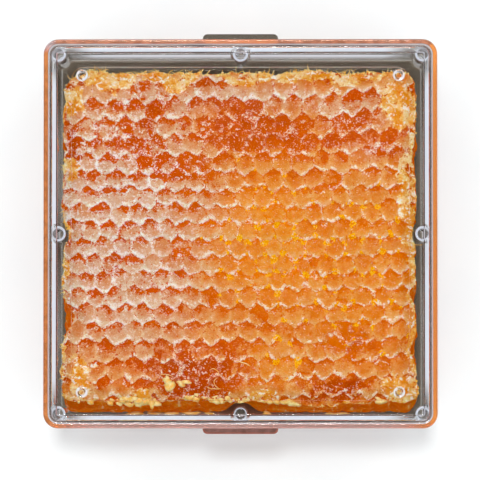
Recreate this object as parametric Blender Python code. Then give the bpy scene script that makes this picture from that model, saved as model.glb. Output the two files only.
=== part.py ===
"""A slab of capped honeycomb shut in the clear plastic case that the bees filled.

Three pieces: the comb, the tray it lies in and the lid over it. Everything is
in metres, +Z up. The slab lies flat with its capped face up, the origin is under
the middle of the tray, and +Y is the side where the comb stops short of the wall.
"""

import math

import bmesh
import bpy
import numpy as np
from mathutils import Vector, geometry

MM = 0.001

# --- Case, in millimetres -------------------------------------------------
CASE_X = 109.6  # outside the lid, left to right
CASE_Y = 108.3  # outside the lid, bottom to top, without the tabs
CASE_Z = 35.0
CORNER = 4.2  # radius of the lid's upright corners
CORNER_STEPS = 6

SKIRT_WALL = 1.3
SKIRT_BOTTOM = 27.5
LID_UNDERSIDE = 33.0
# The lid's top, from the outer edge inwards: how far in, then how far down or up.
LID_STEPS = ((1.3, 0.0), (0.2, -0.7), (0.7, 0.0), (0.2, 0.5), (1.1, 0.0), (0.3, -0.5))
PANEL_INSET = 7.8  # the raised field in the middle of the lid
PANEL_TOP = 34.55
PANEL_CORNER = 4.0
RING_REACH = 44.1  # the four stacking rings lie this far out each way
RING_OUTER, RING_INNER = 1.65, 0.75
RING_DEPTH = 0.5
TAB_LENGTH, TAB_REACH, TAB_THICK = 21.0, 1.55, 1.5
TAB_TOP = 32.8
TAB_SLANT = 1.2

WALL_INSET = 1.65  # tray wall's outer face, in from the lid's outer face
WALL = 1.3
TRAY_TOP = 32.7
TRAY_DRAFT = 0.4  # the tray narrows by this on each side towards its foot
FLOOR = 1.4
FLOOR_FILLET = 0.5
FOOT_CHAMFER = 0.6
POST_INSET = 4.0  # centre of each hollow post, in from the lid's outer face
POST_TOP_RADIUS, POST_FOOT_RADIUS = 2.15, 1.7
POST_BORE = 1.5
POST_BORE_DEPTH = 14.0
POST_SIDES = 16

# --- Comb, in millimetres -------------------------------------------------
GAP = 0.35  # kept between the comb and the tray
PITCH = 5.36  # one cell to the next along a row
ROW = 4.64  # one row of cells to the next
FACE = 29.6  # mean height of the capped face
CAP_RISE = 0.75  # a cap's crown over the walls of its cell
CAP_DROOP = 1.1  # the crown sits this far below the middle of its cell
FACE_LEFT, FACE_RIGHT, FACE_TOP, FACE_BOTTOM = -49.7, 48.8, 45.1, -46.9
FOOT_LEFT, FOOT_RIGHT, FOOT_TOP, FOOT_BOTTOM = -50.2, 49.6, 45.9, -50.2
COMB_CORNER = 3.2
TOP_LEFT_CUT = 5.0  # the missing top left corner
OUTLINE_POINTS = 176
EDGE_MARGIN = 1.1  # cells nearer than this to the edge are dropped
EDGE_DROP = 1.9  # the capped face falls by this at its edge
SIDE_HEIGHTS = (0.0, 0.22, 0.5, 0.8, 1.0)  # from the foot to the face
SIDE_RAGGED = 0.45
# Where the edge of the face is bitten in or bulges out: side, place along it,
# half width, and how far in.
EDGE_FEATURES = (
    ("left", -23.4, 4.6, 3.0),
    ("left", 24.5, 3.0, 0.9),
    ("left", 1.7, 3.0, 0.8),
    ("right", -16.4, 2.4, 1.5),
    ("right", -32.6, 2.8, 1.9),
    ("right", -44.5, 4.5, -1.2),
    ("right", 22.0, 6.0, 0.7),
    ("bottom", -40.0, 5.0, 0.8),
    ("bottom", 22.0, 9.0, -0.9),
    ("bottom", -12.0, 12.0, 0.9),
    ("top", -42.0, 3.0, -0.4),
    ("top", 20.0, 8.0, -0.5),
)
# Cells that were never capped, or were torn open: middle, radius, depth.
OPEN_CELLS = (
    (30.5, -29.0, 4.2, 2.2),
    (25.5, -42.5, 6.5, 2.1),
    (-13.0, -36.0, 10.0, 2.0),
    (3.0, 29.5, 10.0, 1.9),
    (-21.5, 20.2, 3.0, 2.3),
    (-3.5, 19.8, 2.8, 2.4),
)
# How the bees' rows wander, in cells, as a cubic in x / 50 and -y / 44.4.
DRIFT_TERMS = ((0, 0), (1, 0), (0, 1), (2, 0), (1, 1), (0, 2), (3, 0), (2, 1), (1, 2), (0, 3))
ROW_DRIFT = (-0.19, -0.06, -0.01, 0.14, -0.14, 0.15, 0.18, -0.05, 0.26, -0.63)
CELL_DRIFT = (-0.33, -0.03, -0.37, 0.07, 0.21, 0.05, 0.08, -0.07, -0.20, 0.33)
CELL_MIDDLE = 0.36  # part of a row that a cell's middle lies above its cap's crown
SEED = 7


def clear_scene():
    for obj in list(bpy.data.objects):
        bpy.data.objects.remove(obj, do_unlink=True)


def new_collection(name, hidden=False):
    collection = bpy.data.collections.new(name)
    bpy.context.scene.collection.children.link(collection)
    collection.hide_render = hidden
    return collection


def plastic(name, colour, roughness, alpha):
    material = bpy.data.materials.new(name)
    material.use_nodes = True
    shader = material.node_tree.nodes["Principled BSDF"]
    shader.inputs["Base Color"].default_value = (*colour, 1.0)
    shader.inputs["Roughness"].default_value = roughness
    shader.inputs["Metallic"].default_value = 0.0
    shader.inputs["IOR"].default_value = 1.58
    shader.inputs["Transmission Weight"].default_value = 1.0 - alpha
    return material


def wax(name, colour, roughness):
    material = bpy.data.materials.new(name)
    material.use_nodes = True
    shader = material.node_tree.nodes["Principled BSDF"]
    shader.inputs["Base Color"].default_value = (*colour, 1.0)
    shader.inputs["Roughness"].default_value = roughness
    shader.inputs["Metallic"].default_value = 0.0
    shader.inputs["Subsurface Weight"].default_value = 0.4
    return material


def object_from(bm, name, collection, material=None, smooth=False):
    bmesh.ops.recalc_face_normals(bm, faces=bm.faces)
    mesh = bpy.data.meshes.new(name)
    bm.to_mesh(mesh)
    bm.free()
    obj = bpy.data.objects.new(name, mesh)
    collection.objects.link(obj)
    if material:
        mesh.materials.append(material)
    if smooth:
        mesh.shade_smooth()
        mesh.set_sharp_from_angle(angle=math.radians(35))
    return obj


def as_cutter(obj):
    obj.hide_render = True
    obj.display_type = "WIRE"
    return obj


def boolean(target, other, operation):
    modifier = target.modifiers.new(other.name, "BOOLEAN")
    modifier.operation = operation
    modifier.solver = "EXACT"
    modifier.object = other


# --- Case -----------------------------------------------------------------


def rounded_block(size_x, size_y, bottom, top, corner, steps=CORNER_STEPS):
    """A block with round upright edges, in millimetres."""
    bm = bmesh.new()
    bmesh.ops.create_cube(bm, size=1.0)
    bmesh.ops.scale(bm, vec=(size_x * MM, size_y * MM, (top - bottom) * MM), verts=bm.verts)
    bmesh.ops.translate(bm, vec=(0, 0, (bottom + top) / 2 * MM), verts=bm.verts)
    upright = [
        edge
        for edge in bm.edges
        if abs(edge.verts[0].co.x - edge.verts[1].co.x) < 1e-6
        and abs(edge.verts[0].co.y - edge.verts[1].co.y) < 1e-6
    ]
    bmesh.ops.bevel(bm, geom=upright, offset=corner * MM, segments=steps, profile=0.5, affect="EDGES")
    return bm


def end_face(bm, upwards):
    return max(
        (f for f in bm.faces if (f.normal.z > 0.9) == upwards and abs(f.normal.z) > 0.9),
        key=lambda f: f.calc_area(),
    )


def step_in(bm, face, inwards, along):
    """Insets the face by one length and moves what is inside it by another."""
    bmesh.ops.inset_region(
        bm, faces=[face], thickness=inwards * MM, depth=along * MM, use_even_offset=True
    )


def post_places():
    """The middles of the eight hollow posts: one in each corner and one on each side."""
    x, y = CASE_X / 2 - POST_INSET, CASE_Y / 2 - POST_INSET
    return [(i * x, j * y) for i in (-1, 0, 1) for j in (-1, 0, 1) if (i, j) != (0, 0)]


def upright_cone(bm, x, y, bottom, top, foot_radius, top_radius, sides):
    made = bmesh.ops.create_cone(
        bm,
        cap_ends=True,
        segments=sides,
        radius1=foot_radius * MM,
        radius2=top_radius * MM,
        depth=(top - bottom) * MM,
    )
    bmesh.ops.translate(bm, vec=(x * MM, y * MM, (bottom + top) / 2 * MM), verts=made["verts"])


def make_lid(parts, cutters, material):
    bm = rounded_block(CASE_X, CASE_Y, SKIRT_BOTTOM, CASE_Z, CORNER)
    bm.normal_update()
    top = end_face(bm, True)
    for inwards, along in LID_STEPS:
        step_in(bm, top, inwards, along)
    under = end_face(bm, False)
    step_in(bm, under, SKIRT_WALL, 0.0)
    step_in(bm, under, 0.12, -(LID_UNDERSIDE - SKIRT_BOTTOM))
    lid = object_from(bm, "case_lid", parts, material, smooth=True)

    field = rounded_block(
        CASE_X - 2 * PANEL_INSET, CASE_Y - 2 * PANEL_INSET, 33.6, PANEL_TOP, PANEL_CORNER, 4
    )
    field = as_cutter(object_from(field, "lid_field", cutters))
    boolean(lid, field, "UNION")

    tabs = bmesh.new()
    for side in (-1, 1):
        bm = rounded_block(TAB_LENGTH, 2 * TAB_REACH + 1.2, TAB_TOP - TAB_THICK, TAB_TOP, TAB_SLANT, 1)
        bmesh.ops.translate(bm, vec=(0, side * (CASE_Y / 2 - 0.6) * MM, 0), verts=bm.verts)
        # Only the outer half stands clear of the skirt, so the inner half is pulled back into it.
        for vert in bm.verts:
            if side * vert.co.y < (CASE_Y / 2 - 0.6) * MM:
                vert.co.y = side * (CASE_Y / 2 - 0.6) * MM
        bmesh.ops.remove_doubles(bm, verts=bm.verts, dist=1e-7)
        spare = bpy.data.meshes.new("tab")
        bm.to_mesh(spare)
        bm.free()
        tabs.from_mesh(spare)
        bpy.data.meshes.remove(spare)
    tabs = as_cutter(object_from(tabs, "lid_tabs", cutters))
    boolean(lid, tabs, "UNION")

    rings, bores = bmesh.new(), bmesh.new()
    for x in (-RING_REACH, RING_REACH):
        for y in (-RING_REACH, RING_REACH):
            upright_cone(rings, x, y, PANEL_TOP - 0.5, CASE_Z, RING_OUTER, RING_OUTER - 0.15, 16)
            upright_cone(bores, x, y, CASE_Z - RING_DEPTH, CASE_Z + 1, RING_INNER, RING_INNER + 0.3, 12)
    rings = as_cutter(object_from(rings, "lid_rings", cutters))
    bores = as_cutter(object_from(bores, "lid_ring_bores", cutters))
    boolean(lid, rings, "UNION")
    boolean(lid, bores, "DIFFERENCE")
    return lid


def make_tray(parts, cutters, material):
    bm = rounded_block(
        CASE_X - 2 * WALL_INSET,
        CASE_Y - 2 * WALL_INSET,
        0.0,
        TRAY_TOP,
        CORNER - WALL_INSET,
    )
    for vert in bm.verts:
        if vert.co.z < 1e-5:
            vert.co.x -= math.copysign(TRAY_DRAFT * MM, vert.co.x)
            vert.co.y -= math.copysign(TRAY_DRAFT * MM, vert.co.y)
    bm.normal_update()
    inside = end_face(bm, True)
    step_in(bm, inside, WALL, 0.0)
    step_in(bm, inside, TRAY_DRAFT, -(TRAY_TOP - FLOOR - FLOOR_FILLET))
    step_in(bm, inside, FLOOR_FILLET, -FLOOR_FILLET)
    foot = [e for e in bm.edges if all(v.co.z < 1e-5 for v in e.verts)]
    bmesh.ops.bevel(bm, geom=foot, offset=FOOT_CHAMFER * MM, segments=1, affect="EDGES")
    tray = object_from(bm, "case_base", parts, material, smooth=True)

    posts, bores = bmesh.new(), bmesh.new()
    for x, y in post_places():
        upright_cone(posts, x, y, 0.9, TRAY_TOP - 0.2, POST_FOOT_RADIUS, POST_TOP_RADIUS, POST_SIDES)
        upright_cone(
            bores, x, y, TRAY_TOP - POST_BORE_DEPTH, TRAY_TOP + 1, POST_BORE - 0.2, POST_BORE, POST_SIDES
        )
    posts = as_cutter(object_from(posts, "tray_posts", cutters))
    bores = as_cutter(object_from(bores, "tray_post_bores", cutters))
    boolean(tray, posts, "UNION")
    boolean(tray, bores, "DIFFERENCE")
    return tray


# --- Comb -----------------------------------------------------------------


def drift(coefficients, x, y):
    u, v = max(-1.1, min(1.1, x / 50.0)), max(-1.1, min(1.1, -y / 44.4))
    return sum(c * u**a * v**b for c, (a, b) in zip(coefficients, DRIFT_TERMS))


def place(cell, row):
    """Where a point given in cells along a row, and in rows, lies on the face."""
    x, y = cell * PITCH, -row * ROW
    for _ in range(12):
        x, y = (
            (cell - drift(CELL_DRIFT, x, y)) * PITCH,
            -(row - CELL_MIDDLE - drift(ROW_DRIFT, x, y)) * ROW,
        )
    return x, y


def wander(t, seed):
    """Smooth noise between -1 and 1 along a line, t in millimetres."""
    rng = np.random.default_rng(seed)
    waves = rng.uniform(0.12, 1.5, 9)
    phases = rng.uniform(0, 2 * math.pi, 9)
    return sum(math.sin(w * t + p) / (1 + 1.2 * w) for w, p in zip(waves, phases)) / 2.6


def hills(x, y):
    """The long swell of the capped face."""
    return (
        0.45 * math.sin(x / 17.0 + 0.6) * math.cos(y / 21.0 - 0.4)
        + 0.30 * math.sin((x + y) / 11.0)
        + 0.20 * math.sin((x - 1.7 * y) / 8.0 + 1.3)
    )


def ragged_loop(level):
    """The comb's outline at a level from 0 at its foot to 1 at its face."""
    left = FOOT_LEFT + (FACE_LEFT - FOOT_LEFT) * level
    right = FOOT_RIGHT + (FACE_RIGHT - FOOT_RIGHT) * level
    top = FOOT_TOP + (FACE_TOP - FOOT_TOP) * level
    bottom = FOOT_BOTTOM + (FACE_BOTTOM - FOOT_BOTTOM) * level**1.6
    half = Vector(((right - left) / 2, (top - bottom) / 2))
    middle = Vector(((right + left) / 2, (top + bottom) / 2))
    points = []
    for k in range(OUTLINE_POINTS):
        angle = 2 * math.pi * (k + 0.5) / OUTLINE_POINTS
        # The ray from the middle meets the rectangle here.
        ray = Vector((math.cos(angle), math.sin(angle)))
        reach = min(half.x / max(abs(ray.x), 1e-9), half.y / max(abs(ray.y), 1e-9))
        point = ray * reach
        # Round the corners.
        corner = Vector((half.x - COMB_CORNER, half.y - COMB_CORNER))
        over = Vector((abs(point.x) - corner.x, abs(point.y) - corner.y))
        if over.x > 0 and over.y > 0:
            pulled = over.normalized() * COMB_CORNER
            point = Vector(
                (
                    math.copysign(corner.x + pulled.x, point.x),
                    math.copysign(corner.y + pulled.y, point.y),
                )
            )
        cut = -point.x + point.y - (half.x + half.y - TOP_LEFT_CUT)
        if cut > 0:
            point += Vector((cut / 2, -cut / 2))
        x, y = point + middle
        vertical = abs(point.x) / half.x > abs(point.y) / half.y
        side = ("right" if point.x > 0 else "left") if vertical else ("top" if point.y > 0 else "bottom")
        along = y if vertical else x
        inwards = SIDE_RAGGED * wander(along + 40 * level, SEED + len(side))
        inwards += 0.35 * SIDE_RAGGED * wander(along * 2.3 + 13 * level, SEED + 20 + len(side))
        for where, centre, half_width, depth in EDGE_FEATURES:
            if where == side:
                share = math.exp(-(((along - centre) / half_width) ** 2) * 1.4)
                inwards += depth * share * level**2
        towards = Vector((-math.copysign(1, point.x), 0)) if vertical else Vector((0, -math.copysign(1, point.y)))
        point = Vector((x, y)) + towards * inwards
        points.append(keep_clear(point, level))
    return points


def keep_clear(point, level):
    """Moves a point of the outline in, off the tray's wall and posts."""
    wall = WALL_INSET + WALL + TRAY_DRAFT * (1 - level * 0.85) + GAP
    limit_x, limit_y = CASE_X / 2 - wall, CASE_Y / 2 - wall
    x = max(-limit_x, min(limit_x, point.x))
    y = max(-limit_y, min(limit_y, point.y))
    room = POST_TOP_RADIUS + GAP + 0.25
    for px, py in post_places():
        # A smooth hollow in the comb's edge, open towards the wall behind the post.
        if py == 0 or px == 0:
            across, reach = (y, abs(x)) if py == 0 else (x, abs(y))
            same_side = x * px > 0 if py == 0 else y * py > 0
            if not same_side or abs(across) > 2.4 * room:
                continue
            bulge = room / (1 + (abs(across) / (1.25 * room)) ** 4)
            reach = min(reach, abs(px + py) - bulge)
            if py == 0:
                x = math.copysign(reach, x)
            else:
                y = math.copysign(reach, y)
        else:
            away = Vector((x - px, y - py))
            if away.length < room:
                away = away.normalized() * room
                x, y = px + away.x, py + away.y
    return Vector((x, y))


def depth_inside(point, loop):
    """How far a point is inside the closed loop, or less than 0 outside it."""
    inside = False
    nearest = 1e9
    for a, b in zip(loop, loop[1:] + loop[:1]):
        if (a.y > point.y) != (b.y > point.y):
            if point.x < (b.x - a.x) * (point.y - a.y) / (b.y - a.y) + a.x:
                inside = not inside
        run = b - a
        share = max(0.0, min(1.0, (point - a).dot(run) / run.length_squared))
        nearest = min(nearest, (point - a - run * share).length)
    return nearest if inside else -nearest


def cell_lattice(loop, rng, shift, rise):
    """Middles and corners of the cells inside the loop: (x, y, height) and the edges between them.

    The height is measured outwards from the walls' mean level.
    """
    points, edges, index = [], [], {}

    def add(key, x, y, height):
        if key not in index:
            index[key] = len(points)
            points.append((x, y, height))
        return index[key]

    for row in range(-13, 14):
        for i in range(-20, 21):
            cell = i + row / 2 + shift
            x, y = place(cell, row)
            if max(abs(x), abs(y)) > 60 or depth_inside(Vector((x, y)), loop) < EDGE_MARGIN + 0.6:
                continue
            height = rise * rng.uniform(0.55, 1.25)
            for ox, oy, radius, depth in OPEN_CELLS:
                if rise > 0.7 and (x - ox) ** 2 + (y - oy) ** 2 < radius**2:
                    height -= depth * rng.uniform(0.5, 1.2)
            crown = add(("c", i, row), x, y - CAP_DROOP, height)
            ring = []
            for across, down in ((0, -2), (1, -1), (1, 1), (0, 2), (-1, 1), (-1, -1)):
                key = (2 * i + row + across, 3 * row + down)
                cx, cy = place(cell + across / 2, row + down / 3)
                if depth_inside(Vector((cx, cy)), loop) < EDGE_MARGIN:
                    ring.append(None)
                    continue
                wall_height = -0.15 + 0.2 * math.sin(key[0] * 12.9898 + key[1] * 78.233)
                ring.append(add(key, cx, cy, wall_height))
            for a, b in zip(ring, ring[1:] + ring[:1]):
                if a is not None:
                    edges.append((crown, a))
                if a is not None and b is not None:
                    edges.append((min(a, b), max(a, b)))
    return points, sorted(set(edges))


def sheet(loop, points, edges):
    """Triangles over the area inside the loop, through the lattice's points."""
    flat = [Vector(p) for p in loop] + [Vector((p[0], p[1])) for p in points]
    count = len(loop)
    constraints = [(k, (k + 1) % count) for k in range(count)]
    constraints += [(a + count, b + count) for a, b in edges]
    verts, _, faces, origin, _, _ = geometry.delaunay_2d_cdt(
        flat, constraints, [list(range(count))], 1, 1e-5
    )
    if len(verts) != len(flat):
        raise ValueError("the cells' walls cross the comb's outline")
    back = [ids[0] for ids in origin]
    return [tuple(back[v] for v in face) for face in faces]


def make_comb(parts, material):
    rng = np.random.default_rng(SEED)
    foot_level = FLOOR + GAP
    loops = [ragged_loop(level) for level in SIDE_HEIGHTS]
    bm = bmesh.new()

    rings = []
    for level, loop in zip(SIDE_HEIGHTS, loops):
        ring = []
        for k, point in enumerate(loop):
            z = foot_level + 1.0 + (FACE - EDGE_DROP - foot_level - 1.0) * level
            if level == 1.0:
                z += 0.5 * wander(k * 2.9, SEED + 50) + hills(point.x, point.y)
            elif level == 0.0:
                z = foot_level + 0.9 + 0.3 * wander(k * 2.9, SEED + 60)
            else:
                z += 0.8 * wander(k * 1.7 + 9 * level, SEED + 70)
            ring.append(bm.verts.new((point.x * MM, point.y * MM, z * MM)))
        rings.append(ring)
    for low, high in zip(rings, rings[1:]):
        for k in range(OUTLINE_POINTS):
            n = (k + 1) % OUTLINE_POINTS
            bm.faces.new((low[k], low[n], high[n], high[k]))

    def close(ring, loop, shift, rise, height_at):
        points, edges = cell_lattice(loop, rng, shift, rise)
        verts = list(ring)
        for x, y, height in points:
            verts.append(bm.verts.new((x * MM, y * MM, height_at(x, y, height) * MM)))
        for face in sheet(loop, points, edges):
            bm.faces.new([verts[v] for v in face])

    def front(x, y, height):
        near = depth_inside(Vector((x, y)), loops[-1])
        fall = EDGE_DROP * math.exp(-((near / 3.2) ** 2))
        return FACE + hills(x, y) - fall + height

    def back(x, y, height):
        return foot_level + 0.75 - max(-0.4, min(0.75, height))

    close(rings[-1], loops[-1], 0.0, CAP_RISE, front)
    close(rings[0], loops[0], 0.5, 0.6, back)
    return object_from(bm, "comb", parts, material, smooth=False)


def main():
    clear_scene()
    parts = new_collection("Honeycomb piece")
    cutters = new_collection("Cutters", hidden=True)
    clear = plastic("clear_lid_plastic", (0.95, 0.97, 1.0), 0.04, 0.1)
    smoke = plastic("clear_tray_plastic", (0.80, 0.79, 0.74), 0.05, 0.15)
    honey = wax("honeycomb_wax", (0.80, 0.36, 0.08), 0.38)
    make_comb(parts, honey)
    make_tray(parts, cutters, smoke)
    make_lid(parts, cutters, clear)


main()
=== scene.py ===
"""Looks for the comb honey in its clear case: fine capped comb, clear moulded tray and lid, camera and studio."""

import math

import bmesh
import bpy
import numpy as np
from mathutils import Matrix, Vector, geometry


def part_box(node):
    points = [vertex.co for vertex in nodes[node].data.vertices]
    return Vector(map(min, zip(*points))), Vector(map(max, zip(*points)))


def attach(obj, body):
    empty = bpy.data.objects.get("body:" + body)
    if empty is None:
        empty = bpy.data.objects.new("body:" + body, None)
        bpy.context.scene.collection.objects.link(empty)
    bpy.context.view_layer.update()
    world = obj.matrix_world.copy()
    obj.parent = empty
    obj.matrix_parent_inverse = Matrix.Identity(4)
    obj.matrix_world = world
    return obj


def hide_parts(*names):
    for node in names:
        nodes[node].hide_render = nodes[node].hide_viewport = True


MM = 0.001

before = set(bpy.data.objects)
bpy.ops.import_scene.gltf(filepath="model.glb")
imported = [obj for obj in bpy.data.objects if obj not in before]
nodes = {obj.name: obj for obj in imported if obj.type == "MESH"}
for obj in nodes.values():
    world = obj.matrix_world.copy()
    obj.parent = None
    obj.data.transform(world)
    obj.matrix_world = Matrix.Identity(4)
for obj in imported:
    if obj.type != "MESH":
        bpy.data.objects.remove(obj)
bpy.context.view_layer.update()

# ---------------------------------------------------------------------------
# Sizes, in millimetres. The case's come from the frame.
# ---------------------------------------------------------------------------
LID_LOW, LID_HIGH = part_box("case_lid")
TRAY_LOW, TRAY_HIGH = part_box("case_base")
CASE_X = (LID_HIGH.x - LID_LOW.x) / MM
TAB_REACH = 1.55
CASE_Y = (LID_HIGH.y - LID_LOW.y) / MM - 2 * TAB_REACH
CASE_Z = LID_HIGH.z / MM
TRAY_TOP = TRAY_HIGH.z / MM
SKIRT_BOTTOM = LID_LOW.z / MM

PITCH, ROW = 5.36, 4.64
CELL_MIDDLE = 0.36
FACE = 29.6
FOOT = 1.75
FACE_LEFT, FACE_RIGHT, FACE_TOP, FACE_BOTTOM = -49.7, 48.8, 45.1, -46.9
FOOT_LEFT, FOOT_RIGHT, FOOT_TOP, FOOT_BOTTOM = -50.2, 49.6, 45.9, -50.2
EDGE_DROP = 1.9
SIDE_RAGGED = 0.45
POST_INSET, POST_ROOM = 4.0, 2.75
WALL_CLEAR = 3.35
SEED = 7
EDGE_FEATURES = (
    ("left", -23.4, 4.6, 3.0),
    ("left", 24.5, 3.0, 0.9),
    ("left", 1.7, 3.0, 0.8),
    ("right", -16.4, 2.4, 1.5),
    ("right", -32.6, 2.8, 1.9),
    ("right", -44.5, 4.5, -1.2),
    ("right", 22.0, 6.0, 0.7),
    ("bottom", -40.0, 5.0, 0.8),
    ("bottom", 22.0, 9.0, -0.9),
    ("bottom", -12.0, 12.0, 0.9),
    ("top", -42.0, 3.0, -0.4),
    ("top", 20.0, 8.0, -0.5),
)
DRIFT_TERMS = ((0, 0), (1, 0), (0, 1), (2, 0), (1, 1), (0, 2), (3, 0), (2, 1), (1, 2), (0, 3))
ROW_DRIFT = (-0.19, -0.06, -0.01, 0.14, -0.14, 0.15, 0.18, -0.05, 0.26, -0.63)
CELL_DRIFT = (-0.33, -0.03, -0.37, 0.07, 0.21, 0.05, 0.08, -0.07, -0.20, 0.33)


# ---------------------------------------------------------------------------
# Noise and small helpers
# ---------------------------------------------------------------------------
def hash01(i, j, seed):
    """A repeatable number from 0 to 1 for each pair of whole numbers."""
    i = np.asarray(i).astype(np.int64)
    j = np.asarray(j).astype(np.int64)
    n = (i * 374761393 + j * 668265263 + seed * 974634777) & 0xFFFFFFFF
    n = ((n ^ (n >> 13)) * 1274126177) & 0xFFFFFFFF
    n = ((n ^ (n >> 15)) * 2246822519) & 0xFFFFFFFF
    return ((n ^ (n >> 16)) & 0xFFFFFF) / float(0x1000000)


def noise2(x, y, seed):
    """Smooth noise from -1 to 1, one lump to each unit."""
    xi, yi = np.floor(x), np.floor(y)
    fx, fy = x - xi, y - yi
    fx = fx * fx * fx * (fx * (fx * 6 - 15) + 10)
    fy = fy * fy * fy * (fy * (fy * 6 - 15) + 10)
    a, b = hash01(xi, yi, seed), hash01(xi + 1, yi, seed)
    c, d = hash01(xi, yi + 1, seed), hash01(xi + 1, yi + 1, seed)
    return ((a * (1 - fx) + b * fx) * (1 - fy) + (c * (1 - fx) + d * fx) * fy) * 2 - 1


def fbm(x, y, seed, octaves=3, gain=0.5):
    total, size, norm = 0.0, 1.0, 0.0
    for k in range(octaves):
        c, s = math.cos(0.7 * k), math.sin(0.7 * k)
        total = total + size * noise2((x * c - y * s) * 2**k, (x * s + y * c) * 2**k, seed + 17 * k)
        norm += size
        size *= gain
    return total / norm


def wander(t, seed):
    rng = np.random.default_rng(seed)
    waves = rng.uniform(0.12, 1.5, 9)
    phases = rng.uniform(0, 2 * math.pi, 9)
    return sum(np.sin(w * t + p) / (1 + 1.2 * w) for w, p in zip(waves, phases)) / 2.6


def smooth(low, high, x):
    t = np.clip((x - low) / (high - low), 0, 1)
    return t * t * (3 - 2 * t)


def bump(x, y, cx, cy, rx, ry, power=1.0):
    """A soft spot of height 1."""
    return np.exp(-((((x - cx) / rx) ** 2 + ((y - cy) / ry) ** 2) ** power))


def mesh_object(name, points, faces, smooth_shading=True):
    """points: (n, 3) in millimetres; faces: (m, 4) or (m, 3) of indices."""
    mesh = bpy.data.meshes.new(name)
    points = np.asarray(points, np.float32) * MM
    faces = np.asarray(faces, np.int32)
    mesh.vertices.add(len(points))
    mesh.vertices.foreach_set("co", points.ravel())
    mesh.loops.add(faces.size)
    mesh.loops.foreach_set("vertex_index", faces.ravel())
    mesh.polygons.add(len(faces))
    mesh.polygons.foreach_set("loop_start", np.arange(0, faces.size, faces.shape[1], dtype=np.int32))
    mesh.update(calc_edges=True)
    mesh.validate()
    if smooth_shading:
        mesh.shade_smooth()
    obj = bpy.data.objects.new(name, mesh)
    bpy.context.scene.collection.objects.link(obj)
    return obj


def set_attribute(obj, name, values):
    attribute = obj.data.attributes.new(name, "FLOAT", "POINT")
    attribute.data.foreach_set("value", np.asarray(values, np.float32).ravel())


def grid_faces(rows, columns, flip=False, wrap=False):
    """Quads of a grid of points stored row by row. wrap joins the last column to the first."""
    i = np.arange(rows - 1)[:, None]
    j = np.arange(columns if wrap else columns - 1)[None, :]
    n = (j + 1) % columns
    quads = np.stack(
        [i * columns + j, i * columns + n, (i + 1) * columns + n, (i + 1) * columns + j], -1
    ).reshape(-1, 4)
    return quads[:, ::-1] if flip else quads


# ---------------------------------------------------------------------------
# The comb's cells
# ---------------------------------------------------------------------------
def drift(coefficients, x, y):
    u, v = np.clip(x / 50.0, -1.1, 1.1), np.clip(-y / 44.4, -1.1, 1.1)
    return sum(c * u**a * v**b for c, (a, b) in zip(coefficients, DRIFT_TERMS))


def lattice(x, y):
    """Place in cells along a row, and in rows counted towards -Y."""
    return (
        x / PITCH + drift(CELL_DRIFT, x, y),
        -y / ROW + CELL_MIDDLE + drift(ROW_DRIFT, x, y),
    )


def nearest_cells(across, down, seed, jitter=0.08):
    """For each point: its cell's (i, row), its place in it, and how far the walls are.

    Lengths are in cells. The place is (right, towards -Y) from the middle. The walls are those
    shared with the cells above (+Y), beside and below.
    """
    shape = across.shape
    first = np.full(shape, 9.0)
    cell_i, cell_r = np.zeros(shape), np.zeros(shape)

    def centre(i, r):
        return (
            i + r / 2 + jitter * (2 * hash01(i, r, seed + 1) - 1),
            0.866 * r + jitter * (2 * hash01(i, r, seed + 2) - 1),
        )

    px, py = across, 0.866 * down
    middle = np.floor(down + 0.5)
    for dr in (-1, 0, 1):
        r = middle + dr
        column = np.floor(across - r / 2 + 0.5)
        for dc in (-1, 0, 1):
            c = column + dc
            cx, cy = centre(c, r)
            d = np.hypot(px - cx, py - cy)
            nearer = d < first
            cell_i, cell_r = np.where(nearer, c, cell_i), np.where(nearer, r, cell_r)
            first = np.where(nearer, d, first)
    cx, cy = centre(cell_i, cell_r)
    walls = []
    for di, dr in ((0, -1), (1, -1), (-1, 0), (1, 0), (-1, 1), (0, 1)):
        nx, ny = centre(cell_i + di, cell_r + dr)
        gap = np.hypot(nx - cx, ny - cy)
        walls.append(((px - nx) ** 2 + (py - ny) ** 2 - first**2) / (2 * gap))
    return cell_i, cell_r, px - cx, py - cy, walls


def soft_min(values, sharp):
    """A smooth minimum, which rounds the corners where two of the values are alike."""
    return -np.log(sum(np.exp(-sharp * v) for v in values)) / sharp


def hills(x, y):
    return (
        0.45 * np.sin(x / 17.0 + 0.6) * np.cos(y / 21.0 - 0.4)
        + 0.30 * np.sin((x + y) / 11.0)
        + 0.20 * np.sin((x - 1.7 * y) / 8.0 + 1.3)
    )


# ---------------------------------------------------------------------------
# The comb's outline
# ---------------------------------------------------------------------------
SIDES = {
    "left": (FACE_LEFT, FOOT_LEFT, 1),
    "right": (FACE_RIGHT, FOOT_RIGHT, -1),
    "top": (FACE_TOP, FOOT_TOP, -1),
    "bottom": (FACE_BOTTOM, FOOT_BOTTOM, 1),
}
CORNER_RADII = {"tl": 7.0, "tr": 3.4, "bl": 3.0, "br": 3.2}


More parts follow.
